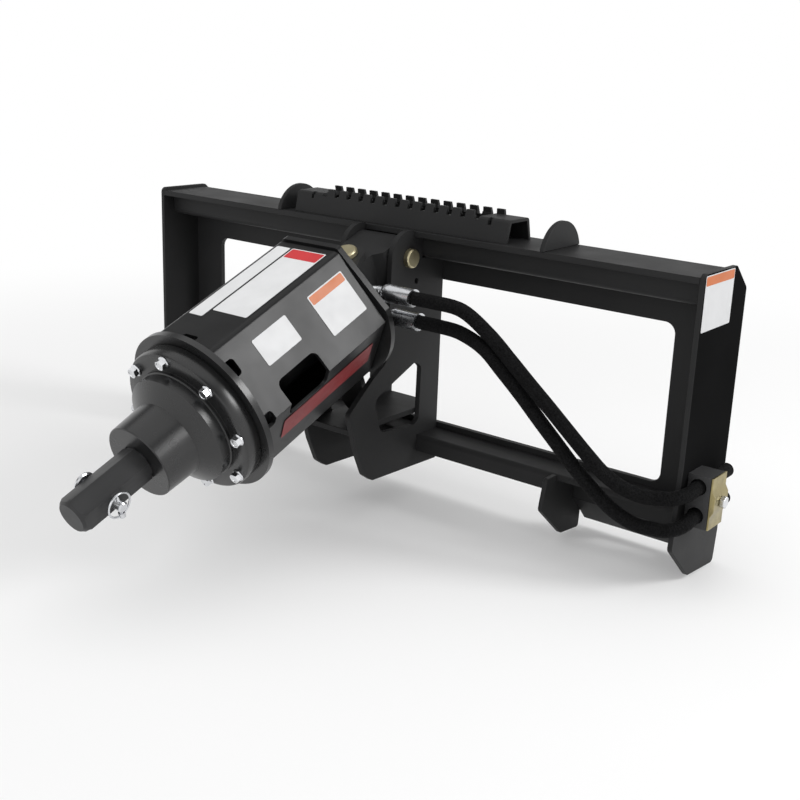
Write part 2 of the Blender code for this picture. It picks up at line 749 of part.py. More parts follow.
def hose_start(port):
    """First points of a hose, past the farthest point that the swinging ferrules reach."""
    return [frame_point(HOSE_START + step, port[0], port[1]) for step in (0.0, 18.0, 36.0)]


HOSE_UPPER = hose_start(UPPER_PORT) + [(240, -112, 389),
              (288, -108, 360), (325, -103, 327), (358, -98, 296), (391, -92, 265),
              (423, -85, 233), (452, -77, 203), (478, -68, 177), (504, -57, 159),
              (530, -44, 149), (553, -31, 148), (HALF_WIDTH - 0.5, -26, 151),
              (HALF_WIDTH + 13.5, -10, 156.5),
              (HOSE_X - 0.5, 12, 161), (HOSE_X, 34, HOSE_UPPER_Z), (HOSE_X, 62, HOSE_UPPER_Z),
              (HOSE_X, HOSE_END_Y, HOSE_UPPER_Z)]
HOSE_LOWER = hose_start(LOWER_PORT) + [(234, -105, 352),
              (279.5, -107, 336.5), (313, -102, 306), (345, -96, 274), (374, -90, 242),
              (404, -83, 209), (433, -76, 177), (462, -67, 147), (491, -56, 120),
              (520, -42, 102), (547, -31, 98), (HALF_WIDTH - 2.5, -29, 101), (HALF_WIDTH + 13.5, -13, 108),
              (HOSE_X - 0.5, 11, 115.5), (HOSE_X, 34, HOSE_LOWER_Z), (HOSE_X, 62, HOSE_LOWER_Z),
              (HOSE_X, HOSE_END_Y, HOSE_LOWER_Z)]
add_hose("hose_upper", HOSE_UPPER)
add_hose("hose_lower", HOSE_LOWER)


# Link between the frame and the drive
def along_b(a, s, b):
    return Vector((a, b, s))


def along_a(b, s, a):
    return Vector((a, b, s))


LIFT_BORE = LIFT_PIN_RADIUS + CLEARANCE
LINK_CENTRE = (LINK_LOW + LINK_HIGH) / 2
LINK_REAR = (LINK_HIGH - LINK_LOW) / 2
TONGUE_END = SWING_S + TONGUE_HALF
swing_link = add_piece("swing_link", LINK, "paint", [prism(
    rounded([(-LINK_HALF, LIFT_S - LINK_REAR - 5, 0), (LINK_HALF, LIFT_S - LINK_REAR - 5, 0),
             (LINK_HALF, LINK_BLOCK_END, 6), (TONGUE_HALF, LINK_BLOCK_END + 14, 8),
             (TONGUE_HALF, TONGUE_END, TONGUE_HALF - 0.2),
             (-TONGUE_HALF, TONGUE_END, TONGUE_HALF - 0.2),
             (-TONGUE_HALF, LINK_BLOCK_END + 14, 8), (-LINK_HALF, LINK_BLOCK_END, 6)]),
    LINK_LOW, LINK_HIGH, along_b, [ring(0, SWING_S, SWING_PIN_RADIUS + CLEARANCE, 32)])])
keep_common(swing_link, "keep_link_side", [prism(
    arc(LINK_CENTRE, LIFT_S, LINK_REAR, 180, 360, 14)
    + [(LINK_HIGH + 3, SWING_S), (LINK_HIGH + 3, SWING_S + 60), (LINK_LOW - 3, SWING_S + 60),
       (LINK_LOW - 3, SWING_S)],
    -LINK_HALF - 9, LINK_HALF + 9, along_a)], LINK)
cut(swing_link, "cut_lift_bore", [turned(
    [(0, -70), (LIFT_BORE, -70), (LIFT_BORE, 70), (0, 70)], 32,
    lambda b, s, a: Vector((a, b + LIFT_B, s + LIFT_S)))], LINK)


# Yoke plates and swing pin on the drive
def add_yoke(name, low):
    outline = (arc(0, SWING_S, YOKE_REAR_RADIUS, 180 + 8, 360 - 8, 12)
               + [(YOKE_HALF, SWING_S + 22), (YOKE_HALF, BACK_REAR - CLEARANCE),
                  (-YOKE_HALF, BACK_REAR - CLEARANCE), (-YOKE_HALF, SWING_S + 22)])
    add_piece(name, DRIVE, "paint", [prism(
        outline, low, low + YOKE_THICK, along_b,
        [ring(0, SWING_S, SWING_PIN_RADIUS + CLEARANCE, 24)])])


UPPER_YOKE = LINK_HIGH + CLEARANCE
LOWER_YOKE = LINK_LOW - CLEARANCE - YOKE_THICK
add_yoke("yoke_upper", UPPER_YOKE)
add_yoke("yoke_lower", LOWER_YOKE)


def around_swing(a, s, b):
    return Vector((a, b, s + SWING_S))


PIN_SEAT = UPPER_YOKE + YOKE_THICK + CLEARANCE
PIN_FOOT = LOWER_YOKE - CLEARANCE
add_piece("swing_pin", DRIVE, "gold", [turned(
    [(0, PIN_FOOT - 9), (SWING_PIN_RADIUS - 2, PIN_FOOT - 9), (SWING_PIN_RADIUS, PIN_FOOT - 7),
     (SWING_PIN_RADIUS, PIN_SEAT), (SWING_HEAD, PIN_SEAT), (SWING_HEAD, PIN_SEAT + 7),
     (SWING_HEAD - 2, PIN_SEAT + 9.5), (0, PIN_SEAT + 9.5)], 32, around_swing)], smooth=True)


# Back plate with the rest leg
def around_axis(a, b, s):
    return Vector((a, b, s))


leg_root = math.sqrt(BACK_ROUND ** 2 - LEG_HALF ** 2)
leg_angle = math.degrees(math.asin(LEG_HALF / BACK_ROUND))
BACK_OUTLINE = rounded(
    [(BACK_ROUND, 8, 0), (BACK_ROUND - 2, 17.5, 8), (BACK_SHOULDER, BACK_TOP, 8),
     (-BACK_SHOULDER, BACK_TOP, 8), (2 - BACK_ROUND, 17.5, 8), (-BACK_ROUND, 8, 0)]
    + sharp(arc(0, 0, BACK_ROUND, 184, 270 - leg_angle - 4, 9))
    + [(-LEG_HALF, -leg_root - 9, 0)]
    + sharp(arc(0, LEG_TIP + LEG_HALF, LEG_HALF, 180, 360, 12))
    + [(LEG_HALF, -leg_root - 9, 0)]
    + sharp(arc(0, 0, BACK_ROUND, 270 + leg_angle + 4, 356, 9)))
PORT_A = 62.0
PORT_HOLE = 12.0
back_plate = add_piece("back_plate", DRIVE, "paint", [prism(
    BACK_OUTLINE, BACK_REAR, BACK_FRONT, around_axis,
    [ring(PORT_A, UPPER_PORT[0], PORT_HOLE, 20), ring(PORT_A, LOWER_PORT[0], PORT_HOLE, 20)])])


# Housing shell, two bent halves that meet at the sides
def shell_outline(sign, inset):
    level = sign * CLEARANCE / 2
    edge = SHELL_TOP if sign > 0 else SHELL_BOTTOM
    slope = Vector((SHELL_SIDE - SHELL_CORNER, edge)).normalized()
    side = SHELL_SIDE - inset / abs(slope.y)
    flat = edge - sign * inset
    corner = side - abs(flat) * (SHELL_SIDE - SHELL_CORNER) / abs(edge)
    radius = max(3.0, 10.0 - inset)
    return rounded([(side, level, 0), (corner, flat, radius), (-corner, flat, radius),
                    (-side, level, 0)])


def add_shell(name, sign):
    outer = shell_outline(sign, 0.0)
    inner = shell_outline(sign, SHELL_WALL)
    inner.reverse()
    return add_piece(name, DRIVE, "paint",
                     [prism(outer + inner, SHELL_REAR, SHELL_FRONT, around_axis)])


def slanted(side, sign):
    """Place (s, t, depth) on a sloping face: t runs up the face from its middle."""
    def place(s, t, depth):
        a = side * (109.0 * 0.866 + depth * 0.866 - t * 0.5)
        b = sign * (109.0 * 0.5 + depth * 0.5 + t * 0.866)
        return Vector((a, b, s))
    return place


housing_upper = add_shell("housing_upper", 1)
housing_lower = add_shell("housing_lower", -1)
BIG_WINDOW = rounded([(303, -95, 0), (390, -95, 0), (390, -24, 12), (303, -24, 12)])
LOW_WINDOW = rounded([(303, -95, 0), (390, -95, 0), (390, -33, 12), (303, -33, 12)])
SLOT_START = SHELL_FRONT - 22.7
NOTCH = rounded([(SLOT_START, -95, 0), (SHELL_FRONT + 5, -95, 0), (SHELL_FRONT + 5, -48, 0),
                 (SLOT_START, -48, 6)])
SLOT = rounded([(SLOT_START, 17, 6), (SHELL_FRONT - 2, 17, 3), (SHELL_FRONT - 2, 44, 3),
                (SLOT_START, 44, 6)])
upper_cuts = []
lower_cuts = []
for side in (-1, 1):
    for outline in (BIG_WINDOW, NOTCH, SLOT):
        upper_cuts.append(prism(outline, -22, 18, slanted(side, 1)))
    for outline in (LOW_WINDOW, NOTCH):
        lower_cuts.append(prism(outline, -22, 18, slanted(side, -1)))
upper_cuts.append(prism(rounded([(-15, SLOT_START, 5), (15, SLOT_START, 5),
                                 (15, SHELL_FRONT - 2.7, 3), (-15, SHELL_FRONT - 2.7, 3)]),
                        SHELL_TOP - 12, SHELL_TOP + 8, along_b))
cut(housing_upper, "cut_upper_windows", upper_cuts, DRIVE)
cut(housing_lower, "cut_lower_windows", lower_cuts, DRIVE)


def hexagonal(inset):
    top = shell_outline(1, inset)
    low = shell_outline(-1, inset)
    low.reverse()
    return top[1:-1] + [(top[-1][0], 0.0)] + low[1:-1] + [(top[0][0], 0.0)]


add_to(back_plate, "weld_land", [prism(
    hexagonal(2.5), BACK_FRONT - 4, SHELL_REAR - CLEARANCE, around_axis,
    [hexagonal(14.0)])], DRIVE)


def circle_points(radius, count, start=0.0):
    return [(radius * math.cos(math.radians(start + 360.0 * k / count)),
             radius * math.sin(math.radians(start + 360.0 * k / count))) for k in range(count)]


BOLTS = circle_points(BOLT_CIRCLE, BOLT_COUNT)
BOLT_HOLES = [ring(x, y, BOLT_HOLE, 10) for x, y in BOLTS]
add_piece("housing_ring", DRIVE, "paint", [prism(
    ring(0, 0, RING_RADIUS, 48), RING_REAR, RING_FRONT, around_axis,
    [ring(0, 0, RING_BORE, 40)] + BOLT_HOLES)])

# Gearbox case: nose, flange and the wall behind it; both bearings go in from the rear
LIP_BORE = SHAFT_RADIUS + 0.6
SEAL_END = NOSE_END - NOSE_LIP
SEAL_START = SEAL_END - SEAL_DEPTH
gearbox_case = add_piece("gearbox_case", DRIVE, "paint", [turned(
    [(CARRIER_BORE, CASE_REAR), (CASE_RADIUS, CASE_REAR), (CASE_RADIUS, FLANGE_REAR),
     (FLANGE_RADIUS - 1, FLANGE_REAR), (FLANGE_RADIUS, FLANGE_REAR + 2),
     (FLANGE_RADIUS, FLANGE_FRONT - 5), (FLANGE_RADIUS - 1.5, FLANGE_FRONT - 1.5),
     (FLANGE_RADIUS - 5, FLANGE_FRONT), (HUB_RADIUS, FLANGE_FRONT),
     (HUB_RADIUS, FLANGE_FRONT + 5), (HUB_RADIUS - 2, FLANGE_FRONT + 6),
     (HUB_RADIUS - 2, HUB_FRONT), (NOSE_RADIUS + 2.5, CONE_FRONT), (NOSE_RADIUS, NOSE_END - 1.5),
     (NOSE_RADIUS - 1.5, NOSE_END), (LIP_BORE, NOSE_END), (LIP_BORE, SEAL_END),
     (SEAL_SEAT, SEAL_END), (SEAL_SEAT, SEAL_START), (NOSE_SEAT, SEAL_START),
     (NOSE_SEAT, REAR_SEAT_END), (REAR_SEAT, REAR_SEAT_END), (REAR_SEAT, REAR_SEAT_START),
     (CARRIER_BORE, REAR_SEAT_START)], 40, around_axis, closed=True)], smooth=True)
cut(gearbox_case, "cut_flange_holes", [turned(
    [(0, FLANGE_REAR - 6), (BOLT_HOLE, FLANGE_REAR - 6), (BOLT_HOLE, FLANGE_FRONT + 6),
     (0, FLANGE_FRONT + 6)], 10, shifted(around_axis, x, y, 0)) for x, y in BOLTS],
    DRIVE)
seat = FLANGE_FRONT + CLEARANCE
for number, (x, y) in enumerate(BOLTS, 1):
    add_piece("flange_bolt_" + str(number), DRIVE, "zinc", [turned(
        [(0, RING_REAR + 1), (BOLT_RADIUS, RING_REAR + 1), (BOLT_RADIUS, seat),
         (BOLT_WASHER, seat), (BOLT_WASHER, seat + 1.6), (BOLT_HEAD, seat + 2.6),
         (BOLT_HEAD, seat + 9), (BOLT_HEAD - 1, seat + 10), (0, seat + 10)], 12,
        shifted(around_axis, x, y, 0))])


def shaft_ring(outer, rear, front):
    return turned([(SHAFT_RADIUS + CLEARANCE, rear), (outer - CLEARANCE, rear),
                   (outer - CLEARANCE, front), (SHAFT_RADIUS + CLEARANCE, front)], 32,
                  around_axis, closed=True)


add_piece("rear_bearing", DRIVE, "steel", [shaft_ring(
    REAR_SEAT, REAR_SEAT_END - CLEARANCE - BEARING_WIDTH, REAR_SEAT_END - CLEARANCE)],
    smooth=True)
add_piece("nose_bearing", DRIVE, "steel", [shaft_ring(
    NOSE_SEAT, SEAL_START - CLEARANCE - BEARING_WIDTH, SEAL_START - CLEARANCE)], smooth=True)
add_piece("shaft_seal", DRIVE, "rubber", [shaft_ring(
    SEAL_SEAT, SEAL_START + CLEARANCE, SEAL_END - CLEARANCE)], smooth=True)


# Gears
def involute(angle):
    return math.tan(angle) - angle


def gear_outline(teeth, grow, turn=0.0, inside=False):
    """Involute outline; grow is the tooth's extra angle at the pitch circle, radians."""
    pitch = MODULE * teeth / 2
    press = math.radians(PRESSURE)
    base = pitch * math.cos(press)
    if inside:
        low = pitch - ADDENDUM * MODULE
        high = pitch + DEDENDUM * MODULE
    else:
        low = pitch - DEDENDUM * MODULE
        high = pitch + ADDENDUM * MODULE
    half = math.pi / (2 * teeth) + grow / 2
    flank = []
    bottom = max(low, base)
    for k in range(3):
        radius = bottom + (high - bottom) * k / 2
        press_here = math.acos(min(1.0, base / radius))
        flank.append((radius, half + involute(press) - involute(press_here)))
    if low < bottom - 0.05:
        flank.insert(0, (low, flank[0][1]))
    points = []
    for tooth in range(teeth):
        middle = math.radians(turn) + 2 * math.pi * tooth / teeth
        for radius, offset in flank:
            points.append((radius * math.cos(middle - offset), radius * math.sin(middle - offset)))
        for radius, offset in reversed(flank):
            points.append((radius * math.cos(middle + offset), radius * math.sin(middle + offset)))
    return points


def slack(teeth):
    return -BACKLASH / (MODULE * teeth / 2)


# The ring's tooth spaces are the outline of a gear grown by the backlash
ring_spaces = gear_outline(RING_TEETH, -slack(RING_TEETH), 0.0, inside=True)
add_piece("ring_gear", DRIVE, "steel", [prism(
    ring(0, 0, CASE_RADIUS, 48), COVER_FRONT + CLEARANCE, CASE_REAR - CLEARANCE, around_axis,
    [ring_spaces])])
SUN = (add_empty("sun_axis", swing_axis, (0.0, 0.0, GEAR_REAR - SWING_S)), SPIN[1])
sun_gear = add_piece("sun_gear", SUN, "steel", [prism(
    gear_outline(SUN_TEETH, slack(SUN_TEETH)), GEAR_REAR, GEAR_FRONT, around_axis)])
add_to(sun_gear, "sun_shaft", [turned(
    [(0, SUN_SHAFT_REAR), (MOTOR_SHAFT, SUN_SHAFT_REAR), (MOTOR_SHAFT, GEAR_REAR + 5),
     (0, GEAR_REAR + 5)], 20, around_axis)], SUN)

for number in range(3):
    angle = 2 * math.pi * number / 3
    centre = Vector((ORBIT * math.cos(angle), ORBIT * math.sin(angle), 0.0))
    holder = add_empty("planet_axis_" + str(number + 1), spin_axis, centre)
    add_piece("planet_gear_" + str(number + 1), (holder, SPIN[1]), "steel", [prism(
        gear_outline(PLANET_TEETH, slack(PLANET_TEETH)), GEAR_REAR, GEAR_FRONT, around_axis,
        [ring(0, 0, PLANET_PIN + CLEARANCE, 20)])])
PLANETS = circle_points(ORBIT, 3)
planet_carrier = add_piece("planet_carrier", SPIN, "steel", [prism(
    ring(0, 0, CARRIER_RADIUS, 40), CARRIER_REAR, CARRIER_FRONT, around_axis,
    [ring(0, 0, SHAFT_RADIUS + CLEARANCE, 32)])])
add_to(planet_carrier, "planet_posts", [
    turned([(0, GEAR_REAR - 1), (PLANET_PIN, GEAR_REAR - 1), (PLANET_PIN, CARRIER_REAR + 6),
            (0, CARRIER_REAR + 6)], 16, shifted(around_axis, x, y, 0)) for x, y in PLANETS],
    SPIN)

# Output shaft: round in its bearings, then the hexagon that takes the auger
HEX_CUTS = 36
hex_points = []
for k in range(HEX_CUTS):
    angle = 360.0 * k / HEX_CUTS
    reach = HEX_FLAT / 2 / math.cos(math.radians((angle + 30.0) % 60.0 - 30.0))
    turn = math.radians(angle + HEX_ROLL)
    hex_points.append((reach * math.cos(turn), reach * math.sin(turn)))


def shaft_circle(radius):
    return circle_points(radius, HEX_CUTS, HEX_ROLL)


def hex_within(limit):
    return [tuple(Vector(p) * min(1.0, limit / Vector(p).length)) for p in hex_points]


output_shaft = add_piece("output_shaft", SPIN, "paint", [loft(
    [(shaft_circle(SHAFT_RADIUS - 1), CARRIER_REAR), (shaft_circle(SHAFT_RADIUS), CARRIER_REAR + 1),
     (shaft_circle(SHAFT_RADIUS), HEX_START), (hex_points, HEX_START + 0.4),
     (hex_points, HEX_END - 10), (hex_within(26.4), HEX_END - 4),
     (hex_within(22.5), HEX_END)], around_axis)], smooth=True)
roll = math.radians(HEX_ROLL)
PIN_U = Vector((math.cos(roll), math.sin(roll), 0.0))
PIN_V = Vector((-math.sin(roll), math.cos(roll), 0.0))


def around_pin(v, s, u):
    return PIN_U * u + PIN_V * v + Vector((0.0, 0.0, PIN_S + s))


def around_lynch(s, u, v):
    return PIN_U * (u + LYNCH_OFFSET) + PIN_V * v + Vector((0.0, 0.0, PIN_S + s))


def around_eye(v, u, s):
    return PIN_U * (u + LYNCH_OFFSET) + PIN_V * (v - LYNCH_RING) + Vector((0.0, 0.0, PIN_S + s))


cut(output_shaft, "cut_pin_hole", [turned(
    [(0, -50), (PIN_HOLE, -50), (PIN_HOLE, 50), (0, 50)], 24, around_pin)], SPIN)
hitch_pin = add_piece("hitch_pin", SPIN, "zinc", [turned(
    [(0, PIN_LEFT), (PIN_HEAD - 2, PIN_LEFT), (PIN_HEAD, PIN_LEFT + 2), (PIN_HEAD, PIN_LEFT + 4),
     (PIN_HEAD - 2, PIN_LEFT + 6), (PIN_RADIUS, PIN_LEFT + 6), (PIN_RADIUS, PIN_RIGHT - 2),
     (PIN_RADIUS - 2, PIN_RIGHT), (0, PIN_RIGHT)], 24, around_pin)], smooth=True)
cut(hitch_pin, "cut_lynch_hole", [turned(
    [(0, -12), (LYNCH_RADIUS + CLEARANCE, -12), (LYNCH_RADIUS + CLEARANCE, 12), (0, 12)], 12,
    around_lynch)], SPIN)
lynch_pin = add_piece("lynch_pin", SPIN, "zinc", [turned(
    [(0, -23.5), (4, -23.5), (4.8, -22.5), (4.8, -14.5), (LYNCH_RADIUS, -14.5),
     (LYNCH_RADIUS, 14), (1.2, 16), (0, 16)], 12, around_lynch)], smooth=True)
cut(lynch_pin, "cut_ring_eye", [turned(
    [(0, -9), (LYNCH_WIRE + 0.4, -9), (LYNCH_WIRE + 0.4, 9), (0, 9)], 12, around_eye)], SPIN)
ring_spot = PIN_U * LYNCH_OFFSET - PIN_V * LYNCH_RING
ring_holder = add_empty("ring_axis", spin_axis,
                        (ring_spot.x, ring_spot.y, PIN_S - GEAR_REAR))
loop = [(-LYNCH_RING, -5.2), (-LYNCH_RING, 5.2)]
loop += [(-LYNCH_RING * math.cos(math.radians(t)), LYNCH_RING * math.sin(math.radians(t)))
         for t in range(30, 331, 15)]
add_piece("lynch_ring", (ring_holder, ring_spot + Vector((0.0, 0.0, PIN_S))), "zinc", [pipe(
    [around_pin(v, s, LYNCH_OFFSET) for v, s in loop], LYNCH_WIRE, 8, closed=True)], smooth=True)

# Motor: port block, stator and shaft housing
add_piece("port_block", DRIVE, "paint", [prism(
    rounded([(PORT_LEFT, -PORT_HALF, 12), (PORT_RIGHT, -PORT_HALF, 12),
             (PORT_RIGHT, PORT_HALF, 12), (PORT_LEFT, PORT_HALF, 12)]),
    PORT_REAR, PORT_FRONT, around_axis)])
MOTOR_BORE = MOTOR_SHAFT + 0.6
add_piece("motor_housing", DRIVE, "paint", [turned(
    [(MOTOR_BORE, PORT_FRONT + CLEARANCE), (MOTOR_RADIUS, PORT_FRONT + CLEARANCE),
     (MOTOR_RADIUS, NECK_REAR - 10), (NECK_RADIUS, NECK_REAR), (NECK_RADIUS, NECK_FRONT),
     (NECK_RADIUS + 12, NECK_FRONT + 12), (CASE_RADIUS - 2, COVER_FRONT - 17.7),
     (CASE_RADIUS, COVER_FRONT - 15.7), (CASE_RADIUS, COVER_FRONT), (MOTOR_BORE, COVER_FRONT)],
    32, around_axis, closed=True)], smooth=True)


# Port fittings behind the back plate, each turning toward its hose
def elbow_body(port):
    b, s = port
    bend = 14.0
    path = [Vector((PORT_A, b, PORT_REAR - CLEARANCE)), Vector((PORT_A, b, s + bend))]
    for k in range(1, 6):
        angle = math.radians(90.0 * k / 5)
        path.append(Vector((PORT_A + bend * (1 - math.cos(angle)), b,
                            s + bend * (1 - math.sin(angle)))))
    path.append(Vector((FERRULE_START, b, s)))
    return pipe(path, 9.0, 16)


add_piece("port_elbow_upper", DRIVE, "zinc", [elbow_body(UPPER_PORT)], smooth=True)
add_piece("port_elbow_lower", DRIVE, "zinc", [elbow_body(LOWER_PORT)], smooth=True)


# Ferrules end on a cylinder round the swing pin, so they clear the hoses as the drive swings
def add_ferrule(name, port):
    start = FERRULE_START + CLEARANCE
    long_end = FERRULE_END + 4
    ferrule = add_piece(name, DRIVE, "zinc", [turned(
        [(0, start), (FERRULE_NECK, start), (FERRULE_NECK, start + 8),
         (FERRULE_RADIUS - 0.6, start + 14), (FERRULE_RADIUS, start + 16),
         (FERRULE_RADIUS, long_end), (0, long_end)], 24,
        lambda b, s, a: Vector((a, b + port[0], s + port[1])))], smooth=True)
    keep_common(ferrule, name + "_sweep", [prism(
        ring(0, SWING_S, FERRULE_REACH, 240), port[0] - 30, port[0] + 30, along_b)], DRIVE)


add_ferrule("ferrule_upper", UPPER_PORT)
add_ferrule("ferrule_lower", LOWER_PORT)
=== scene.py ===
"""Looks of the earth auger drive: fine surfaces, materials, labels, floor and light."""
import math

import bmesh
import bpy
from mathutils import Matrix, Vector, geometry


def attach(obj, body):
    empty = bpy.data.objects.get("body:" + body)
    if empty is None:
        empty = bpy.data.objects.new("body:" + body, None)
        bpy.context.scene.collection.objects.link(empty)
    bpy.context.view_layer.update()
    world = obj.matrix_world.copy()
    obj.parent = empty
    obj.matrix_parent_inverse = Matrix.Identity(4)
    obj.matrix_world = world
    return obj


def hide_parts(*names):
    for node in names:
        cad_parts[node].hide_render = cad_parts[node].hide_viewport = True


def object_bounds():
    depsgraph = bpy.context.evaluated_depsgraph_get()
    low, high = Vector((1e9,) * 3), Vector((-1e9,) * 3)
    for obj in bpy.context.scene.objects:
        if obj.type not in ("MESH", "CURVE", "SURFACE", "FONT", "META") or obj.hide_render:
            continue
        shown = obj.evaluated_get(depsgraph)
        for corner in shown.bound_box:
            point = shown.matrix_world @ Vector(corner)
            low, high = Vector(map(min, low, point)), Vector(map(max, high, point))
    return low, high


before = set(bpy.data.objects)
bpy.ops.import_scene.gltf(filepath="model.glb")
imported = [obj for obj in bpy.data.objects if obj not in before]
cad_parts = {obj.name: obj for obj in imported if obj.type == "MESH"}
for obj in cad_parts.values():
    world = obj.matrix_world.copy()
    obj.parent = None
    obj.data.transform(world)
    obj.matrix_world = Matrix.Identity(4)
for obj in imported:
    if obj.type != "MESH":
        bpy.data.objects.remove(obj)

CAD_BOX = [list(corner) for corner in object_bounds()]
MM = 0.001

# Frame
DATUM = (0.0, -95.5, -252.0)
CLEARANCE = 0.3
SHEET = 8.0
HALF_WIDTH = 571.5
END_INNER = HALF_WIDTH - SHEET
SPAN = END_INNER - CLEARANCE
MAIN_FRONT = 86.0
MAIN_REAR = 95.5
MAIN_BOTTOM = 57.0
MAIN_TOP = 463.7
WINDOW_MARGIN = 68.5
WINDOW_HALF = END_INNER - WINDOW_MARGIN
WINDOW_BOTTOM = 122.6
WINDOW_TOP = 381.0
WINDOW_RADIUS = 18.0
RAIL_FRONT = 25.0
RAIL_BOTTOM = 426.0
RAIL_RADIUS = 14.0
SILL_FRONT = 28.0
SILL_TOP = 112.0
SILL_LIP = 83.0
GUSSET_OFFSET = 231.5
GUSSET_MID = HALF_WIDTH - GUSSET_OFFSET
GUSSET_INNER = GUSSET_MID - SHEET / 2
GUSSET_OUTER = GUSSET_MID + SHEET / 2
FOOT_START = (86.0, 56.7)
FOOT_END = (131.0, 7.7)
SLOT_WIDTH = 62.0
SLOT_HEIGHT = 30.0
SLOT_CENTRE = (GUSSET_OUTER + END_INNER) / 2
STEP_LEFT = -223.0
STEP_RIGHT = 230.0
STEP_BASE = 473.8
STEP_TOP = 510.0
STEP_SHEET = 5.0
STEP_BEND = 7.0
TOOTH_PITCH = 27.0
TOOTH_COUNT = 14
TOOTH_TIP = 14.0
TOOTH_TOP = 518.0
VALLEY_FLOOR = 9.0
VALLEY_Z = 505.0
SLIT_WIDTH = 7.0
SLIT_Z = 499.0
STEP_OPEN = TOOTH_PITCH * (TOOTH_COUNT - 2) / 2
EAR_CENTRE = (52.0, 461.0)
EAR_RADIUS = 55.0
EAR_RIGHT = 300.0
EAR_LEFT = -254.0
CHEEK_OUTER = 57.0
CHEEK_INNER = 47.5
CHEEK_HEAD = 46.0
SHELF_TOP = 158.5
SHELF_THICK = 9.5
SHELF_FRONT = -141.0
SHELF_BACK = 85.7

# Lift pin, in frame Y and Z
LIFT_Y = -10.0
LIFT_Z = 430.0
LIFT_PIN_RADIUS = 16.0
LIFT_HEAD = 22.0
LIFT_PIN_END = 67.0
KEEPER_Y = 11.0
KEEPER_Z = 389.0
KEEPER_RADIUS = 5.0

# Hose clamp on the right end plate
CLAMP_INNER = HALF_WIDTH + CLEARANCE
CLAMP_WIDTH = 36.2
CLAMP_OUTER = CLAMP_INNER + CLAMP_WIDTH
COVER_SHEET = 3.0
COVER_RIDGE = 8.0
CLAMP_FRONT = 17.0
CLAMP_BACK = 62.0
CLAMP_BOTTOM = 98.0
CLAMP_TOP = 180.0
HOSE_X = CLAMP_INNER + 17.2
HOSE_UPPER_Z = 162.0
HOSE_LOWER_Z = 117.0
HOSE_RADIUS = 11.0
HOSE_HOLE = 12.6
HOSE_END_Y = 118.0

# Drive axis
DRIVE_Z = 421.0
DRIVE_TILT = 22.5
SWING_S = 90.0
SWING_PIN_RADIUS = 15.0
SWING_HEAD = 20.0
LINK_LOW = -22.0
LINK_HIGH = 46.0
LINK_HALF = 46.0
LINK_BLOCK_END = 50.0
TONGUE_HALF = 29.0
YOKE_THICK = 9.7
YOKE_HALF = 40.0
YOKE_REAR_RADIUS = 30.0
BACK_REAR = 150.0
BACK_FRONT = 160.0
BACK_TOP = 117.0
BACK_SHOULDER = 56.5
BACK_ROUND = 128.0
LEG_HALF = 28.0
LEG_TIP = -217.4
SHELL_REAR = 165.0
SHELL_FRONT = 446.7
SHELL_TOP = 114.0
SHELL_BOTTOM = -112.0
SHELL_SIDE = 125.0
SHELL_CORNER = 60.0
SHELL_WALL = 6.0
RING_REAR = 447.0
RING_FRONT = 457.0
RING_RADIUS = 132.0
CASE_RADIUS = 80.0
RING_BORE = CASE_RADIUS + 1.0
FLANGE_REAR = RING_FRONT + CLEARANCE
FLANGE_FRONT = 484.5
FLANGE_RADIUS = 117.5
BOLT_INSET = 11.2
BOLT_CIRCLE = FLANGE_RADIUS - BOLT_INSET
BOLT_COUNT = 8
BOLT_RADIUS = 5.0
BOLT_HEAD = 8.2
BOLT_WASHER = 9.8
BOLT_HOLE = 5.4
CASE_REAR = 430.0
HUB_RADIUS = 90.0
HUB_FRONT = 507.0
CONE_FRONT = 525.0
NOSE_END = 583.0
NOSE_RADIUS = 58.5
NOSE_LIP = 6.0
CARRIER_BORE = 66.5
REAR_SEAT = 46.0
REAR_SEAT_START = 449.0
REAR_SEAT_END = 476.0
NOSE_SEAT = 42.0
SEAL_SEAT = 38.0
SEAL_DEPTH = 12.0
SHAFT_RADIUS = 26.0
HEX_FLAT = 50.8
HEX_START = 584.0
HEX_END = 709.0
HEX_ROLL = -13.0
PIN_S = 655.0
PIN_RADIUS = 8.0
PIN_HOLE = 8.4
PIN_HEAD = 18.0
PIN_LEFT = -36.0
PIN_RIGHT = 45.0
LYNCH_OFFSET = 36.0
LYNCH_RADIUS = 2.3
LYNCH_RING = 19.0
LYNCH_WIRE = 1.6

# Gearbox rear and motor
COVER_FRONT = 397.7
CARRIER_REAR = 431.0
MOTOR_SHAFT = 9.0
MOTOR_RADIUS = 56.0
NECK_RADIUS = 48.0
NECK_REAR = 330.0
NECK_FRONT = 360.0
PORT_HALF = 56.0
PORT_LEFT = -52.0
PORT_RIGHT = 78.0
PORT_REAR = 200.0
PORT_FRONT = 232.0

# How much finer than the solids the shown curves are cut
FINE = 3
ARC_STEP = 6.0
SHARP_ANGLE = math.radians(32.0)
FLAT_ANGLE = 0.004
BEVEL_ROUNDS = 3
TILT = math.radians(DRIVE_TILT)


# Camera, found from the frame's edges in the photograph
LENS = 53.6
SENSOR = 36.0
CAMERA_PLACE = (1.2503, -1.6418, 0.5415)
CAMERA_RIGHT = (0.7804, 0.6244, 0.0336)
CAMERA_BACK = (0.5883, -0.7514, 0.2989)


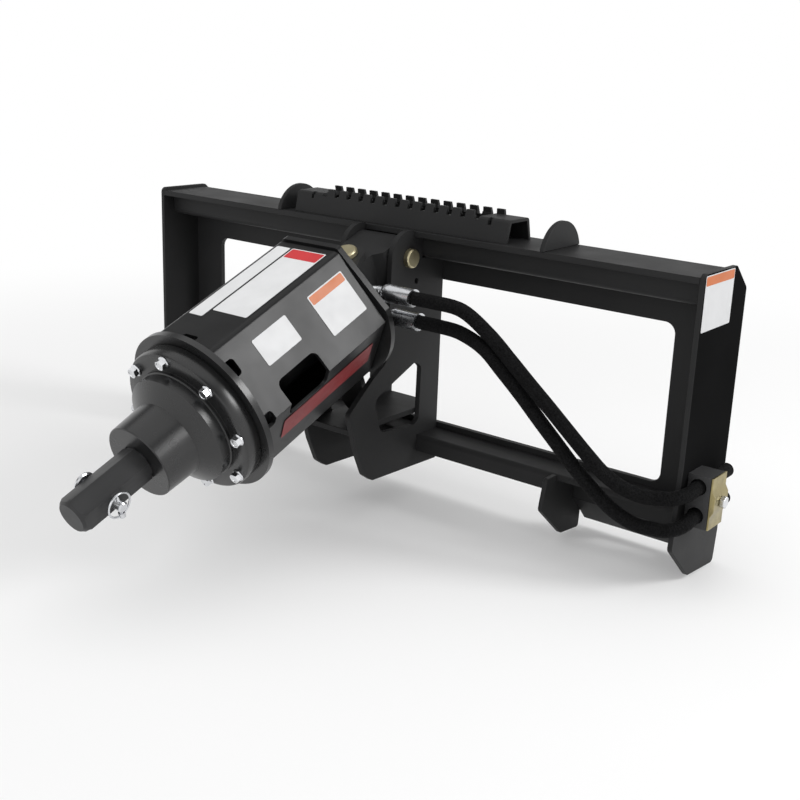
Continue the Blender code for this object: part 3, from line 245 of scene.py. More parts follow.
def add_camera():
    data = bpy.data.cameras.new("camera")
    data.lens = LENS
    data.sensor_width = SENSOR
    data.clip_start = 0.05
    data.clip_end = 60.0
    camera = bpy.data.objects.new("camera", data)
    bpy.context.scene.collection.objects.link(camera)
    right = Vector(CAMERA_RIGHT).normalized()
    back = Vector(CAMERA_BACK).normalized()
    up = back.cross(right).normalized()
    right = up.cross(back)
    turn = Matrix((right, up, back)).transposed().to_4x4()
    camera.matrix_world = Matrix.Translation(CAMERA_PLACE) @ turn
    bpy.context.scene.camera = camera


add_camera()
bpy.context.scene.view_settings.view_transform = "Standard"


# Spaces: how a point in millimetres reaches the row frame, and the body that carries it
def from_frame(p):
    return (p + Vector(DATUM)) * MM


def from_drive(p):
    y = -math.cos(TILT) * p.z - math.sin(TILT) * p.y
    z = DRIVE_Z - math.sin(TILT) * p.z + math.cos(TILT) * p.y
    return (Vector((p.x, y, z)) + Vector(DATUM)) * MM


def frame_point(a, b, s):
    p = from_drive(Vector((a, b, s)))
    return tuple(p / MM - Vector(DATUM))


def drive_coordinates(y, z):
    dz = z - DRIVE_Z
    s = -math.cos(TILT) * y - math.sin(TILT) * dz
    b = -math.sin(TILT) * y + math.cos(TILT) * dz
    return (b, s)


LIFT_B, LIFT_S = drive_coordinates(LIFT_Y, LIFT_Z)
FRAME = (from_frame, "frame")
LINK = (from_drive, "link")
DRIVE = (from_drive, "drive")
SPIN = (from_drive, "output")
RINGLET = (from_drive, "pin_ring")


# Materials
class Wiring:
    """Short ways to add and join the nodes of a tree."""

    def __init__(self, tree):
        self.tree = tree

    def node(self, kind, **values):
        made = self.tree.nodes.new(kind)
        for key, value in values.items():
            if key in made.inputs:
                made.inputs[key].default_value = value
            else:
                setattr(made, key, value)
        return made

    def link(self, a, out, b, into):
        self.tree.links.new(a.outputs[out], b.inputs[into])

    def ramp(self, source, out, low, high, a, b):
        made = self.tree.nodes.new("ShaderNodeMapRange")
        for key, value in (("From Min", low), ("From Max", high), ("To Min", a), ("To Max", b)):
            made.inputs[key].default_value = value
        self.link(source, out, made, "Value")
        return made

    def choose(self, switch, out, first, second):
        """The first shader where the switch is 0, the second where it is 1."""
        made = self.node("ShaderNodeMixShader")
        self.link(switch, out, made, 0)
        self.link(first, 0, made, 1)
        self.link(second, 0, made, 2)
        return made


class Shader(Wiring):
    """A Principled material whose colour, roughness and grain vary."""

    # Sockets of a colour mix
    FIRST, SECOND, MIXED = 6, 7, 2

    def __init__(self, name, colour, roughness, metallic=0.0):
        self.material = bpy.data.materials.new(name)
        self.material.use_nodes = True
        super().__init__(self.material.node_tree)
        self.main = self.tree.nodes["Principled BSDF"]
        self.main.inputs["Base Color"].default_value = (*colour, 1.0)
        self.main.inputs["Roughness"].default_value = roughness
        self.main.inputs["Metallic"].default_value = metallic
        self.place = self.tree.nodes.new("ShaderNodeTexCoord")

    def noise(self, scale, detail=3.0, rough=0.5, stretch=None):
        made = self.node("ShaderNodeTexNoise", Scale=scale, Detail=detail, Roughness=rough)
        source, out = self.place, "Object"
        if stretch:
            source, out = self.node("ShaderNodeMapping", Scale=stretch), "Vector"
            self.link(self.place, "Object", source, "Vector")
        self.link(source, out, made, "Vector")
        return made

    def vary_roughness(self, scale, low, high, stretch=None):
        field = self.noise(scale, 4.0, 0.6, stretch)
        ramp = self.ramp(field, "Fac", 0.3, 0.7, low, high)
        self.link(ramp, "Result", self.main, "Roughness")

    def vary_colour(self, scale, first, second):
        field = self.noise(scale, 3.0, 0.55)
        ramp = self.ramp(field, "Fac", 0.32, 0.68, 0.0, 1.0)
        mix = self.node("ShaderNodeMix", data_type="RGBA")
        mix.inputs[self.FIRST].default_value = (*first, 1.0)
        mix.inputs[self.SECOND].default_value = (*second, 1.0)
        self.link(ramp, "Result", mix, 0)
        self.link(mix, self.MIXED, self.main, "Base Color")

    def bump(self, scale, strength, distance, stretch=None):
        field = self.noise(scale, 2.0, 0.5, stretch)
        bump = self.node("ShaderNodeBump", Strength=strength, Distance=distance)
        self.link(field, "Fac", bump, "Height")
        self.link(bump, "Normal", self.main, "Normal")

    def gloss(self, level):
        self.main.inputs["Specular IOR Level"].default_value = level

    def paint_side_shade(self, least):
        """Painted shade on the faces that look to +X: darker colour and weaker reflection, fading
        out at the foot.
        """
        split = self.node("ShaderNodeSeparateXYZ")
        self.link(self.place, "Normal", split, "Vector")
        share = self.ramp(split, "X", 0.88, 0.99, 1.0, least)
        flat = self.ramp(split, "X", 0.88, 0.99, 1.0, 0.0)
        height = self.node("ShaderNodeSeparateXYZ")
        self.link(self.place, "Object", height, "Vector")
        for made, low in ((share, least), (flat, 0.0)):
            fade = self.ramp(height, "Z", -0.17, -0.10, 1.0, low)
            self.link(fade, "Result", made, "To Max")
        colour = self.main.inputs["Base Color"].links[0].from_node
        mix = self.node("ShaderNodeMix", data_type="RGBA", blend_type="MULTIPLY")
        mix.inputs[0].default_value = 1.0
        self.link(colour, self.MIXED, mix, self.FIRST)
        self.link(share, "Result", mix, self.SECOND)
        self.link(mix, self.MIXED, self.main, "Base Color")
        level = self.node("ShaderNodeMath", operation="MULTIPLY")
        level.inputs[0].default_value = self.main.inputs["Specular IOR Level"].default_value
        self.link(flat, "Result", level, 1)
        self.link(level, 0, self.main, "Specular IOR Level")


def coat(name, low, high, rough_low, rough_high, grain, gloss, side=1.0):
    """Semi-gloss powder coat: fine orange peel, faint dust and handling marks."""
    shader = Shader(name, low, rough_low)
    shader.vary_colour(7.0, low, high)
    shader.vary_roughness(14.0, rough_low, rough_high)
    shader.bump(520.0, grain, 0.0004)
    shader.gloss(gloss)
    # Below 1.0, side paints shade on the faces that look to +X: darker colour and weaker
    # reflection.
    if side < 1.0:
        shader.paint_side_shade(side)
    return shader.material


def plated(name, colour, shade, rough_low, rough_high, brush=None):
    shader = Shader(name, colour, rough_low, 1.0)
    shader.vary_colour(60.0, colour, shade)
    shader.vary_roughness(90.0, rough_low, rough_high, brush)
    shader.bump(700.0, 0.06, 0.0002, brush)
    return shader.material


def soft(name, low, high, rough_low, rough_high, grain, size):
    shader = Shader(name, low, rough_low)
    shader.vary_colour(30.0, low, high)
    shader.vary_roughness(60.0, rough_low, rough_high)
    shader.bump(size, grain, 0.0006)
    return shader.material


def woven(name):
    """Textile hose sleeve: dark yarn with a fine, uneven weave."""
    shader = Shader(name, (0.005, 0.005, 0.0055), 0.75)
    shader.vary_colour(420.0, (0.001, 0.001, 0.0011), (0.009, 0.009, 0.0095))
    shader.vary_roughness(90.0, 0.68, 0.9)
    shader.bump(360.0, 0.9, 0.003)
    shader.gloss(0.1)
    return shader.material


def printed(name, colour, shade, rough):
    shader = Shader(name, colour, rough)
    shader.vary_colour(24.0, colour, shade)
    shader.vary_roughness(40.0, rough * 0.85, rough * 1.15)
    shader.bump(300.0, 0.03, 0.0002)
    return shader.material


LOOKS = {
    "paint": coat("black_coat", (0.0185, 0.0186, 0.019), (0.0235, 0.0236, 0.024), 0.48, 0.58,
                  0.1, 0.16),
    # Right end plate: the same paint, with painted shade on its faces that look to +X.
    "end": coat("end_coat", (0.0185, 0.0186, 0.019), (0.0235, 0.0236, 0.024), 0.48, 0.58,
                0.1, 0.16, 0.4),
    "shell": coat("shell_coat", (0.0085, 0.0086, 0.009), (0.011, 0.0111, 0.0115), 0.28, 0.36,
                  0.1, 0.26),
    "cast": coat("cast_coat", (0.009, 0.0091, 0.0095), (0.0095, 0.0096, 0.010), 0.25, 0.32,
                 0.12, 0.62),
    "shaft": coat("shaft_coat", (0.022, 0.0222, 0.023), (0.03, 0.0302, 0.031), 0.36, 0.46,
                  0.1, 0.3),
    "zinc": plated("zinc_plate", (0.72, 0.73, 0.75), (0.60, 0.61, 0.63), 0.20, 0.32),
    "bright": plated("bright_plate", (0.80, 0.81, 0.83), (0.70, 0.71, 0.73), 0.12, 0.22),
    "crimp": plated("crimp_steel", (0.68, 0.69, 0.71), (0.56, 0.57, 0.59), 0.2, 0.3),
    "gold": plated("gold_zinc", (0.60, 0.54, 0.36), (0.54, 0.48, 0.30), 0.34, 0.46),
    "cover": plated("cover_zinc", (0.36, 0.305, 0.15), (0.25, 0.21, 0.105), 0.24, 0.36,
                    (6.0, 6.0, 90.0)),
    "steel": plated("machined_steel", (0.42, 0.43, 0.45), (0.34, 0.35, 0.37), 0.28, 0.4),
    "rubber": soft("clamp_rubber", (0.026, 0.026, 0.027), (0.032, 0.032, 0.033), 0.5, 0.62,
                   0.2, 400.0),
    "sleeve": woven("woven_sleeve"),
    "label": printed("label_white", (0.74, 0.745, 0.75), (0.69, 0.695, 0.70), 0.42),
    "plate": printed("plate_white", (0.58, 0.583, 0.59), (0.54, 0.543, 0.55), 0.42),
    "ink": printed("label_black", (0.02, 0.02, 0.021), (0.03, 0.03, 0.031), 0.42),
    "orange": printed("label_orange", (0.50, 0.125, 0.022), (0.45, 0.11, 0.02), 0.42),
    "red": printed("label_red", (0.60, 0.025, 0.03), (0.54, 0.02, 0.025), 0.4),
    "darkred": printed("decal_red", (0.20, 0.012, 0.015), (0.16, 0.010, 0.012), 0.38),
}


# Flat outlines
def rounded(corners, step=ARC_STEP):
    """Outline from (x, y, radius) corners, each arc cut into steps of about the angle given."""
    points = []
    count = len(corners)
    for i in range(count):
        x, y, radius = corners[i]
        here = Vector((x, y))
        before = Vector(corners[i - 1][:2])
        after = Vector(corners[(i + 1) % count][:2])
        if radius <= 0:
            points.append((x, y))
            continue
        u = (before - here).normalized()
        w = (after - here).normalized()
        corner = math.acos(max(-1.0, min(1.0, u.dot(w))))
        reach = radius / math.tan(corner / 2)
        centre = here + (u + w).normalized() * (radius / math.sin(corner / 2))
        start = here + u * reach - centre
        end = here + w * reach - centre
        turn = start.angle_signed(end)
        cuts = max(1, math.ceil(abs(math.degrees(turn)) / step))
        first = math.atan2(start.y, start.x)
        for k in range(cuts + 1):
            angle = first - turn * k / cuts
            points.append((centre.x + radius * math.cos(angle),
                           centre.y + radius * math.sin(angle)))
    return points


def arc(cx, cy, radius, start, end, cuts, fine=FINE):
    """Points from start to end degrees, both ends included."""
    points = []
    cuts *= fine
    for k in range(cuts + 1):
        angle = math.radians(start + (end - start) * k / cuts)
        points.append((cx + radius * math.cos(angle), cy + radius * math.sin(angle)))
    return points


def sharp(points):
    return [(x, y, 0.0) for x, y in points]


def ring(cx, cy, radius, cuts=24):
    cuts *= FINE
    return arc(cx, cy, radius, 0.0, 360.0 * (cuts - 1) / cuts, cuts - 1, 1)


def hexagon(cx, cy, flat, roll=0.0):
    return arc(cx, cy, flat / math.sqrt(3.0), roll + 30.0, roll + 330.0, 5, 1)


# Bodies as (vertices, faces), joined freely before they become an object
def prism(outline, low, high, place, holes=()):
    """Outline with holes swept from low to high; place turns (x, y, height) into 3D."""
    loops = [outline] + list(holes)
    flat = [p for loop in loops for p in loop]
    loops_3d = [[Vector((x, y, 0.0)) for x, y in loop] for loop in loops]
    triangles = geometry.tessellate_polygon(loops_3d)
    total = len(flat)
    vertices = [place(x, y, low) for x, y in flat] + [place(x, y, high) for x, y in flat]
    faces = []
    for a, b, c in triangles:
        faces.append((a, b, c))
        faces.append((c + total, b + total, a + total))
    first = 0
    for loop in loops:
        size = len(loop)
        for k in range(size):
            p = first + k
            q = first + (k + 1) % size
            faces.append((p, q, q + total, p + total))
        first += size
    return vertices, faces


def turned(profile, cuts, place, closed=False):
    """Profile of (radius, height) swept round the axis; closed for a ring section."""
    cuts *= FINE
    vertices = []
    rows = []
    for radius, height in profile:
        if radius == 0:
            rows.append([len(vertices)])
            vertices.append(place(0.0, 0.0, height))
            continue
        rows.append(list(range(len(vertices), len(vertices) + cuts)))
        for k in range(cuts):
            angle = 2 * math.pi * k / cuts
            vertices.append(place(radius * math.cos(angle), radius * math.sin(angle), height))
    pairs = list(zip(rows, rows[1:]))
    if closed:
        pairs.append((rows[-1], rows[0]))
    faces = []
    for low, high in pairs:
        for k in range(cuts):
            n = (k + 1) % cuts
            if len(low) == 1 and len(high) == 1:
                continue
            if len(low) == 1:
                faces.append((low[0], high[n], high[k]))
            elif len(high) == 1:
                faces.append((low[k], low[n], high[0]))
            else:
                faces.append((low[k], low[n], high[n], high[k]))
    return vertices, faces


def loft(sections, place):
    """Solid through sections of equal point count, each (points, height)."""
    size = len(sections[0][0])
    vertices = []
    for points, height in sections:
        vertices += [place(x, y, height) for x, y in points]
    faces = []
    for row in range(len(sections) - 1):
        base = row * size
        for k in range(size):
            n = (k + 1) % size
            faces.append((base + k, base + n, base + n + size, base + k + size))
    last = (len(sections) - 1) * size
    faces.append(tuple(range(size)))
    faces.append(tuple(last + k for k in range(size)))
    return vertices, faces


def pipe(path, radius, cuts, closed=False):
    """Round bar along a path of 3D points in millimetres."""
    cuts *= FINE
    points = [Vector(p) for p in path]
    count = len(points)
    vertices = []
    side = None
    for i in range(count):
        if closed:
            along = points[(i + 1) % count] - points[i - 1]
        else:
            along = points[min(i + 1, count - 1)] - points[max(i - 1, 0)]
        along.normalize()
        if side is None:
            side = along.orthogonal().normalized()
        side = (side - along * side.dot(along)).normalized()
        up = along.cross(side)
        for k in range(cuts):
            angle = 2 * math.pi * k / cuts
            vertices.append(points[i] + radius * (math.cos(angle) * side + math.sin(angle) * up))
    faces = []
    rows = count if closed else count - 1
    for i in range(rows):
        low = i * cuts
        high = ((i + 1) % count) * cuts
        for k in range(cuts):
            n = (k + 1) % cuts
            faces.append((low + k, low + n, high + n, high + k))
    if not closed:
        faces.append(tuple(range(cuts)))
        faces.append(tuple((count - 1) * cuts + k for k in range(cuts)))
    return vertices, faces


def along_x(y, z, x):
    return Vector((x, y, z))


def along_y(x, z, y):
    return Vector((x, y, z))


def along_z(x, y, z):
    return Vector((x, y, z))


def shifted(place, dx, dy, dz):
    offset = Vector((dx, dy, dz))
    return lambda x, y, h: place(x, y, h) + offset


def link_mesh(name, mesh, look):
    piece = bpy.data.objects.new(name, mesh)
    bpy.context.scene.collection.objects.link(piece)
    mesh.materials.append(LOOKS[look])
    return piece


def raw_mesh(name, where, bodies):
    place = where[0]
    vertices = []
    faces = []
    for points, polygons in bodies:
        base = len(vertices)
        vertices += [place(p) for p in points]
        faces += [tuple(base + k for k in polygon) for polygon in polygons]
    mesh = bpy.data.meshes.new(name)
    mesh.from_pydata([tuple(p) for p in vertices], [], faces)
    clean_mesh(mesh)
    return mesh


def clean_mesh(mesh):
    """Outward faces, and one flat face where the fill left many."""
    work = bmesh.new()
    work.from_mesh(mesh)
    bmesh.ops.recalc_face_normals(work, faces=work.faces)
    bmesh.ops.dissolve_limit(work, angle_limit=FLAT_ANGLE, verts=work.verts, edges=work.edges,
                             use_dissolve_boundaries=False, delimit=set())
    work.to_mesh(mesh)
    work.free()


def apply_shape(piece):
    """The modifiers' result becomes the piece's own mesh."""
    bpy.context.view_layer.update()
    graph = bpy.context.evaluated_depsgraph_get()
    mesh = bpy.data.meshes.new_from_object(piece.evaluated_get(graph))
    piece.modifiers.clear()
    piece.data = mesh


def shade(piece, bevel):
    mesh = piece.data
    mesh.shade_smooth()
    mesh.set_sharp_from_angle(angle=SHARP_ANGLE)
    if bevel > 0:
        modifier = piece.modifiers.new("edge", "BEVEL")
        modifier.width = bevel * MM
        modifier.segments = BEVEL_ROUNDS
        modifier.limit_method = "ANGLE"
        modifier.angle_limit = SHARP_ANGLE
        modifier.harden_normals = True
        modifier.use_clamp_overlap = True


def add_piece(name, where, look, bodies, bevel=0.9, stands_for=None):
    """A shown piece that takes its node's place; stands_for names other nodes, or none."""
    piece = link_mesh(name + "_skin", raw_mesh(name, where, bodies), look)
    shade(piece, bevel)
    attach(piece, where[1])
    nodes = [name] if stands_for is None else stands_for
    if nodes:
        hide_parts(*nodes)
    return piece


def cut(piece, name, bodies, where, operation="DIFFERENCE"):
    cutter = link_mesh(name, raw_mesh(name, where, bodies), "paint")
    edge = None
    for modifier in list(piece.modifiers):
        if modifier.type == "BEVEL":
            edge = modifier.width
            piece.modifiers.remove(modifier)
    modifier = piece.modifiers.new(name, "BOOLEAN")
    modifier.operation = operation
    modifier.solver = "EXACT"
    modifier.object = cutter
    apply_shape(piece)
    bpy.data.objects.remove(cutter, do_unlink=True)
    clean_mesh(piece.data)
    shade(piece, (edge or 0.0) / MM)


def add_to(piece, name, bodies, where):
    cut(piece, name, bodies, where, "UNION")


def keep_common(piece, name, bodies, where):
    cut(piece, name, bodies, where, "INTERSECT")


def box_corners(x0, x1, y0, y1):
    return [(x0, y0), (x1, y0), (x1, y1), (x0, y1)]


def box(x0, x1, y0, y1, z0, z1):
    return prism(box_corners(x0, x1, y0, y1), z0, z1, along_z)


def bore(radius, reach, cuts, place):
    """Round cutter that reaches as far both ways."""
    return turned([(0, -reach), (radius, -reach), (radius, reach), (0, reach)], cuts, place)


def add_pair(name, inner, outer, outline, holes=(), right_look="paint"):
    """The same plate on the left and on the right of the frame."""
    add_piece(name + "_left", FRAME, "paint", [prism(outline, -outer, -inner, along_x, holes)])
    add_piece(name + "_right", FRAME, right_look, [prism(outline, inner, outer, along_x, holes)])


def add_bar(name, outline):
    """Bar or bent sheet that runs from one end plate to the other."""
    return add_piece(name, FRAME, "paint", [prism(outline, -SPAN, SPAN, along_x)])


# End plates of the frame, with the hook corner at the top and the wedge corner below
END_OUTLINE = rounded([(0, 479, 9), (109, 478, 7), (152, 440, 9), (153, 45, 60),
                       (147, -8, 8), (55, 0, 12), (-12, 62, 10), (-2, 192, 60)])
add_pair("end_plate", END_INNER, HALF_WIDTH, END_OUTLINE, right_look="end")

# Main plate with its one wide window, which the centre plates divide
WINDOW = rounded([(x, z, WINDOW_RADIUS) for x, z in box_corners(
    -WINDOW_HALF, WINDOW_HALF, WINDOW_BOTTOM, WINDOW_TOP)])
MAIN_OUTLINE = box_corners(-SPAN, SPAN, MAIN_BOTTOM, MAIN_TOP)
add_piece("attach_plate", FRAME, "paint",
          [prism(MAIN_OUTLINE, MAIN_FRONT, MAIN_REAR, along_y, [WINDOW])])

LIP_OUTLINE = [(0, 473.5), (0, 464), (100, 464), (134.5, 434.5), (141, 429), (147, 436),
               (104, 473.5)]
add_bar("top_lip", LIP_OUTLINE)

RAIL_INNER = RAIL_FRONT + SHEET
RAIL_BACK = MAIN_FRONT - CLEARANCE
RAIL_OUTLINE = rounded([(RAIL_FRONT, MAIN_TOP, 0), (RAIL_FRONT, RAIL_BOTTOM, RAIL_RADIUS),
                        (RAIL_BACK, RAIL_BOTTOM, 0), (RAIL_BACK, RAIL_BOTTOM + SHEET, 0),
                        (RAIL_INNER, RAIL_BOTTOM + SHEET, RAIL_RADIUS - SHEET),
                        (RAIL_INNER, MAIN_TOP, 0)])
add_bar("top_rail", RAIL_OUTLINE)

# Bottom rail: a shelf across the width, its lip folded down between the inner gussets
SILL_INNER = GUSSET_INNER - CLEARANCE
SILL_OUTLINE = rounded([(SILL_FRONT, SILL_LIP, 0), (SILL_FRONT + SHEET, SILL_LIP, 0),
                        (SILL_FRONT + SHEET, SILL_TOP - SHEET, 0),
                        (RAIL_BACK, SILL_TOP - SHEET, 0), (RAIL_BACK, SILL_TOP, 0),
                        (SILL_FRONT, SILL_TOP, 9)])
bottom_rail = add_bar("bottom_rail", SILL_OUTLINE)
cut(bottom_rail, "cut_sill_lip",
    [box(x0, x1, SILL_FRONT - 5, SILL_FRONT + SHEET + 5, SILL_LIP - 5, SILL_TOP - SHEET)
     for x0, x1 in ((SILL_INNER, SPAN + 5), (-SPAN - 5, -SILL_INNER))], FRAME)

GUSSET_FRONT = SILL_FRONT - CLEARANCE
GUSSET_ROOF = SILL_TOP - SHEET - CLEARANCE
GUSSET_BACK = MAIN_FRONT - CLEARANCE
GUSSET_STEP = MAIN_BOTTOM - CLEARANCE
GUSSET_OUTLINE = rounded([(0, 113, 6), (GUSSET_FRONT, 113, 0), (GUSSET_FRONT, GUSSET_ROOF, 0),
                          (GUSSET_BACK, GUSSET_ROOF, 0), (GUSSET_BACK, GUSSET_STEP, 0),
                          (116, GUSSET_STEP, 6), (112, -3, 6), (55, 3, 10), (-12, 62, 9)])
add_pair("inner_gusset", GUSSET_INNER, GUSSET_OUTER, GUSSET_OUTLINE)


# Latch feet: sloping plates below the main plate, each with the slot for the machine's wedge
def add_foot(name, side):
    start = Vector(FOOT_START)
    run = Vector(FOOT_END) - start
    length = run.length
    run.normalize()
    square = Vector((-run.y, run.x))
    x0 = GUSSET_OUTER + CLEARANCE
    lead = square.y * SHEET / -run.y
    outline = box_corners(x0, SPAN, 0.0, length)
    low = SLOT_CENTRE - SLOT_WIDTH / 2
    mid = length * 0.52
    slot = rounded([(x, y, 6) for x, y in box_corners(
        low, low + SLOT_WIDTH, mid - SLOT_HEIGHT / 2, mid + SLOT_HEIGHT / 2)])

    def place(x, v, height):
        if v == 0.0 and height > 0.0:
            v = lead
        point = start + run * v + square * height
        return Vector((side * x, point.x, point.y))

    add_piece(name, FRAME, "paint", [prism(outline, 0.0, SHEET, place, [slot])])


add_foot("latch_foot_left", -1)
add_foot("latch_foot_right", 1)

# Step channel: its walls stand above the open top sheet as grip teeth
STEP_FRONT = (12.0, 20.0)
STEP_BACK = (83.0, 75.0)
STEP_MIDDLE = (STEP_LEFT + STEP_RIGHT) / 2
STEP_INSIDE = STEP_TOP - STEP_SHEET
step_grip = add_piece("step_grip", FRAME, "paint", [prism(rounded(
    [(STEP_FRONT[0], STEP_BASE, 0), (STEP_FRONT[1], STEP_TOP, STEP_BEND),
     (STEP_BACK[1], STEP_TOP, STEP_BEND), (STEP_BACK[0], STEP_BASE, 0),
     (STEP_BACK[0] - STEP_SHEET, STEP_BASE, 0),
     (STEP_BACK[1] - STEP_SHEET, STEP_INSIDE, STEP_BEND - STEP_SHEET),
     (STEP_FRONT[1] + STEP_SHEET, STEP_INSIDE, STEP_BEND - STEP_SHEET),
     (STEP_FRONT[0] + STEP_SHEET, STEP_BASE, 0)]), STEP_LEFT, STEP_RIGHT, along_x)])


def wall_strip(side, half):
    """Upper part of a wall, up to the tooth tips, within half of the step's middle."""
    low = STEP_TOP - STEP_BEND - 3
    lean = (STEP_FRONT[1] - STEP_FRONT[0]) / (STEP_TOP - STEP_BASE) * side
    foot = (STEP_FRONT[1] if side > 0 else STEP_BACK[1]) - lean * (STEP_TOP - low)
    tip = foot + lean * (TOOTH_TOP - low)
    thick = STEP_SHEET * side
    return prism([(foot, low), (tip, TOOTH_TOP), (tip + thick, TOOTH_TOP), (foot + thick, low)],
                 STEP_MIDDLE - half, STEP_MIDDLE + half, along_x)


add_to(step_grip, "step_walls", [
    wall_strip(1, STEP_OPEN),
    wall_strip(-1, STEP_OPEN + TOOTH_PITCH / 2 + TOOTH_TIP / 2)], FRAME)
cut(step_grip, "cut_step_top", [
    box(STEP_MIDDLE - STEP_OPEN, STEP_MIDDLE + STEP_OPEN, STEP_FRONT[1] + STEP_BEND,
        STEP_BACK[1] - STEP_BEND, STEP_INSIDE - 3, TOOTH_TOP + 3)], FRAME)


def valley(x, floor, low):
    """Gap between two teeth at x, cut through both walls."""
    gap = (TOOTH_PITCH - TOOTH_TIP) / 2
    return prism([(x - floor / 2, low), (x + floor / 2, low), (x + gap, TOOTH_TOP + 2),
                  (x - gap, TOOTH_TOP + 2)], STEP_FRONT[0], STEP_BACK[0], along_y)


VALLEYS = [STEP_MIDDLE + (k - (TOOTH_COUNT - 2) / 2) * TOOTH_PITCH
           for k in range(TOOTH_COUNT - 1)]
cut(step_grip, "cut_step_valleys", [valley(x, VALLEY_FLOOR, VALLEY_Z) for x in VALLEYS], FRAME)
cut(step_grip, "cut_step_slits", [
    box(x - SLIT_WIDTH / 2, x + SLIT_WIDTH / 2, STEP_FRONT[0], STEP_FRONT[1] + STEP_BEND,
        SLIT_Z, TOOTH_TOP + 3)
    for x in (VALLEYS[0] - TOOTH_PITCH, VALLEYS[-1] + TOOTH_PITCH)], FRAME)


# Step ends: round ears beside the channel
def add_ear(name, x0):
    half = math.degrees(math.asin((STEP_BASE - EAR_CENTRE[1]) / EAR_RADIUS))
    outline = arc(EAR_CENTRE[0], EAR_CENTRE[1], EAR_RADIUS, half, 180.0 - half, 14)
    add_piece(name, FRAME, "paint", [prism(outline, x0, x0 + SHEET, along_x)])


add_ear("ear_left", EAR_LEFT)
add_ear("ear_right", EAR_RIGHT)

# Centre plates, cut round the two rails and under the top lip
CHEEK_OUTLINE = rounded(
    sharp(arc(LIFT_Y, LIFT_Z, CHEEK_HEAD, 77.8, 180.0, 9))
    + [(-60, 262, 20), (-95, 239, 12), (-155, 189, 12), (-133, 119, 14), (-113, 75, 14),
       (-91, 60, 12), (85.7, 55, 0), (85.7, GUSSET_ROOF, 0),
       (SILL_FRONT + SHEET + CLEARANCE, GUSSET_ROOF, 0),
       (SILL_FRONT + SHEET + CLEARANCE, SILL_LIP - CLEARANCE, 0),
       (GUSSET_FRONT, SILL_LIP - CLEARANCE, 0), (GUSSET_FRONT, SILL_TOP + CLEARANCE, 0),
       (85.7, SILL_TOP + CLEARANCE, 0), (85.7, RAIL_BOTTOM - CLEARANCE, 0),
       (RAIL_FRONT - CLEARANCE, RAIL_BOTTOM - CLEARANCE, 0),
       (RAIL_FRONT - CLEARANCE, MAIN_TOP, 0), (-CLEARANCE, MAIN_TOP, 0)])
CHEEK_HOLE = rounded([(18, 247.5, 9), (34, 235.5, 9), (32, 132, 16), (-72, 140, 16),
                      (-91, 201, 16)])
CHEEK_HOLES = [CHEEK_HOLE, ring(LIFT_Y, LIFT_Z, LIFT_PIN_RADIUS + CLEARANCE, 24),
               ring(KEEPER_Y, KEEPER_Z, KEEPER_RADIUS, 12)]
add_pair("centre_plate", CHEEK_INNER, CHEEK_OUTER, CHEEK_OUTLINE, CHEEK_HOLES)
SHELF_HALF = CHEEK_INNER - CLEARANCE
add_piece("cradle_shelf", FRAME, "paint",
          [box(-SHELF_HALF, SHELF_HALF, SHELF_FRONT, SHELF_BACK, SHELF_TOP - SHELF_THICK,
               SHELF_TOP)])

# Lift pin, headed on the left
add_piece("lift_pin", FRAME, "gold", [turned(
    [(0, -LIFT_PIN_END), (LIFT_HEAD - 2, -LIFT_PIN_END), (LIFT_HEAD, -LIFT_PIN_END + 2),
     (LIFT_HEAD, -CHEEK_OUTER - CLEARANCE), (LIFT_PIN_RADIUS, -CHEEK_OUTER - CLEARANCE),
     (LIFT_PIN_RADIUS, LIFT_PIN_END - 2), (LIFT_PIN_RADIUS - 2, LIFT_PIN_END),
     (0, LIFT_PIN_END)], 32,
    shifted(along_x, 0, LIFT_Y, LIFT_Z))])

# Hose clamp
HOLES = [ring(HOSE_X, HOSE_UPPER_Z, HOSE_HOLE, 24), ring(HOSE_X, HOSE_LOWER_Z, HOSE_HOLE, 24)]
add_piece("clamp_block", FRAME, "rubber", [prism(
    box_corners(CLAMP_INNER, CLAMP_OUTER, CLAMP_BOTTOM, CLAMP_TOP), CLAMP_FRONT, CLAMP_BACK,
    along_y, HOLES)])
COVER_INNER = CLAMP_OUTER + CLEARANCE
COVER_OUTER = COVER_INNER + COVER_SHEET
RIDGE_FACE = COVER_INNER + COVER_RIDGE
CLAMP_MID = (HOSE_UPPER_Z + HOSE_LOWER_Z) / 2
add_piece("clamp_cover", FRAME, "cover", [prism(
    [(COVER_INNER, CLAMP_BOTTOM), (COVER_OUTER, CLAMP_BOTTOM), (COVER_OUTER, CLAMP_MID - 20.5),
     (RIDGE_FACE, CLAMP_MID - 11.5), (RIDGE_FACE, CLAMP_MID + 11.5),
     (COVER_OUTER, CLAMP_MID + 20.5), (COVER_OUTER, CLAMP_TOP), (COVER_INNER, CLAMP_TOP)],
    CLAMP_FRONT, CLAMP_BACK + COVER_SHEET, along_y)])
add_piece("clamp_bolt", FRAME, "zinc", [
    prism(hexagon(43, CLAMP_MID, 17), RIDGE_FACE + CLEARANCE, RIDGE_FACE + 7.5, along_x)])


# Hydraulic hoses from the port fittings to the clamp
def add_hose(name, route):
    smooth = curve_through(route)
    curve = bpy.data.curves.new(name + "_sleeve", "CURVE")
    curve.dimensions = "3D"
    curve.bevel_depth = HOSE_RADIUS * MM
    curve.bevel_resolution = 12
    curve.use_fill_caps = True
    spline = curve.splines.new("POLY")
    spline.points.add(len(smooth) - 1)
    for point, place in zip(spline.points, smooth):
        point.co = (*from_frame(place), 1.0)
    hose = bpy.data.objects.new(name + "_sleeve", curve)
    bpy.context.scene.collection.objects.link(hose)
    curve.materials.append(LOOKS["sleeve"])
    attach(hose, "frame")
    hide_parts(name)
    length = sum((b - a).length for a, b in zip(smooth, smooth[1:])) * MM
    tuple(from_frame(smooth[0]))


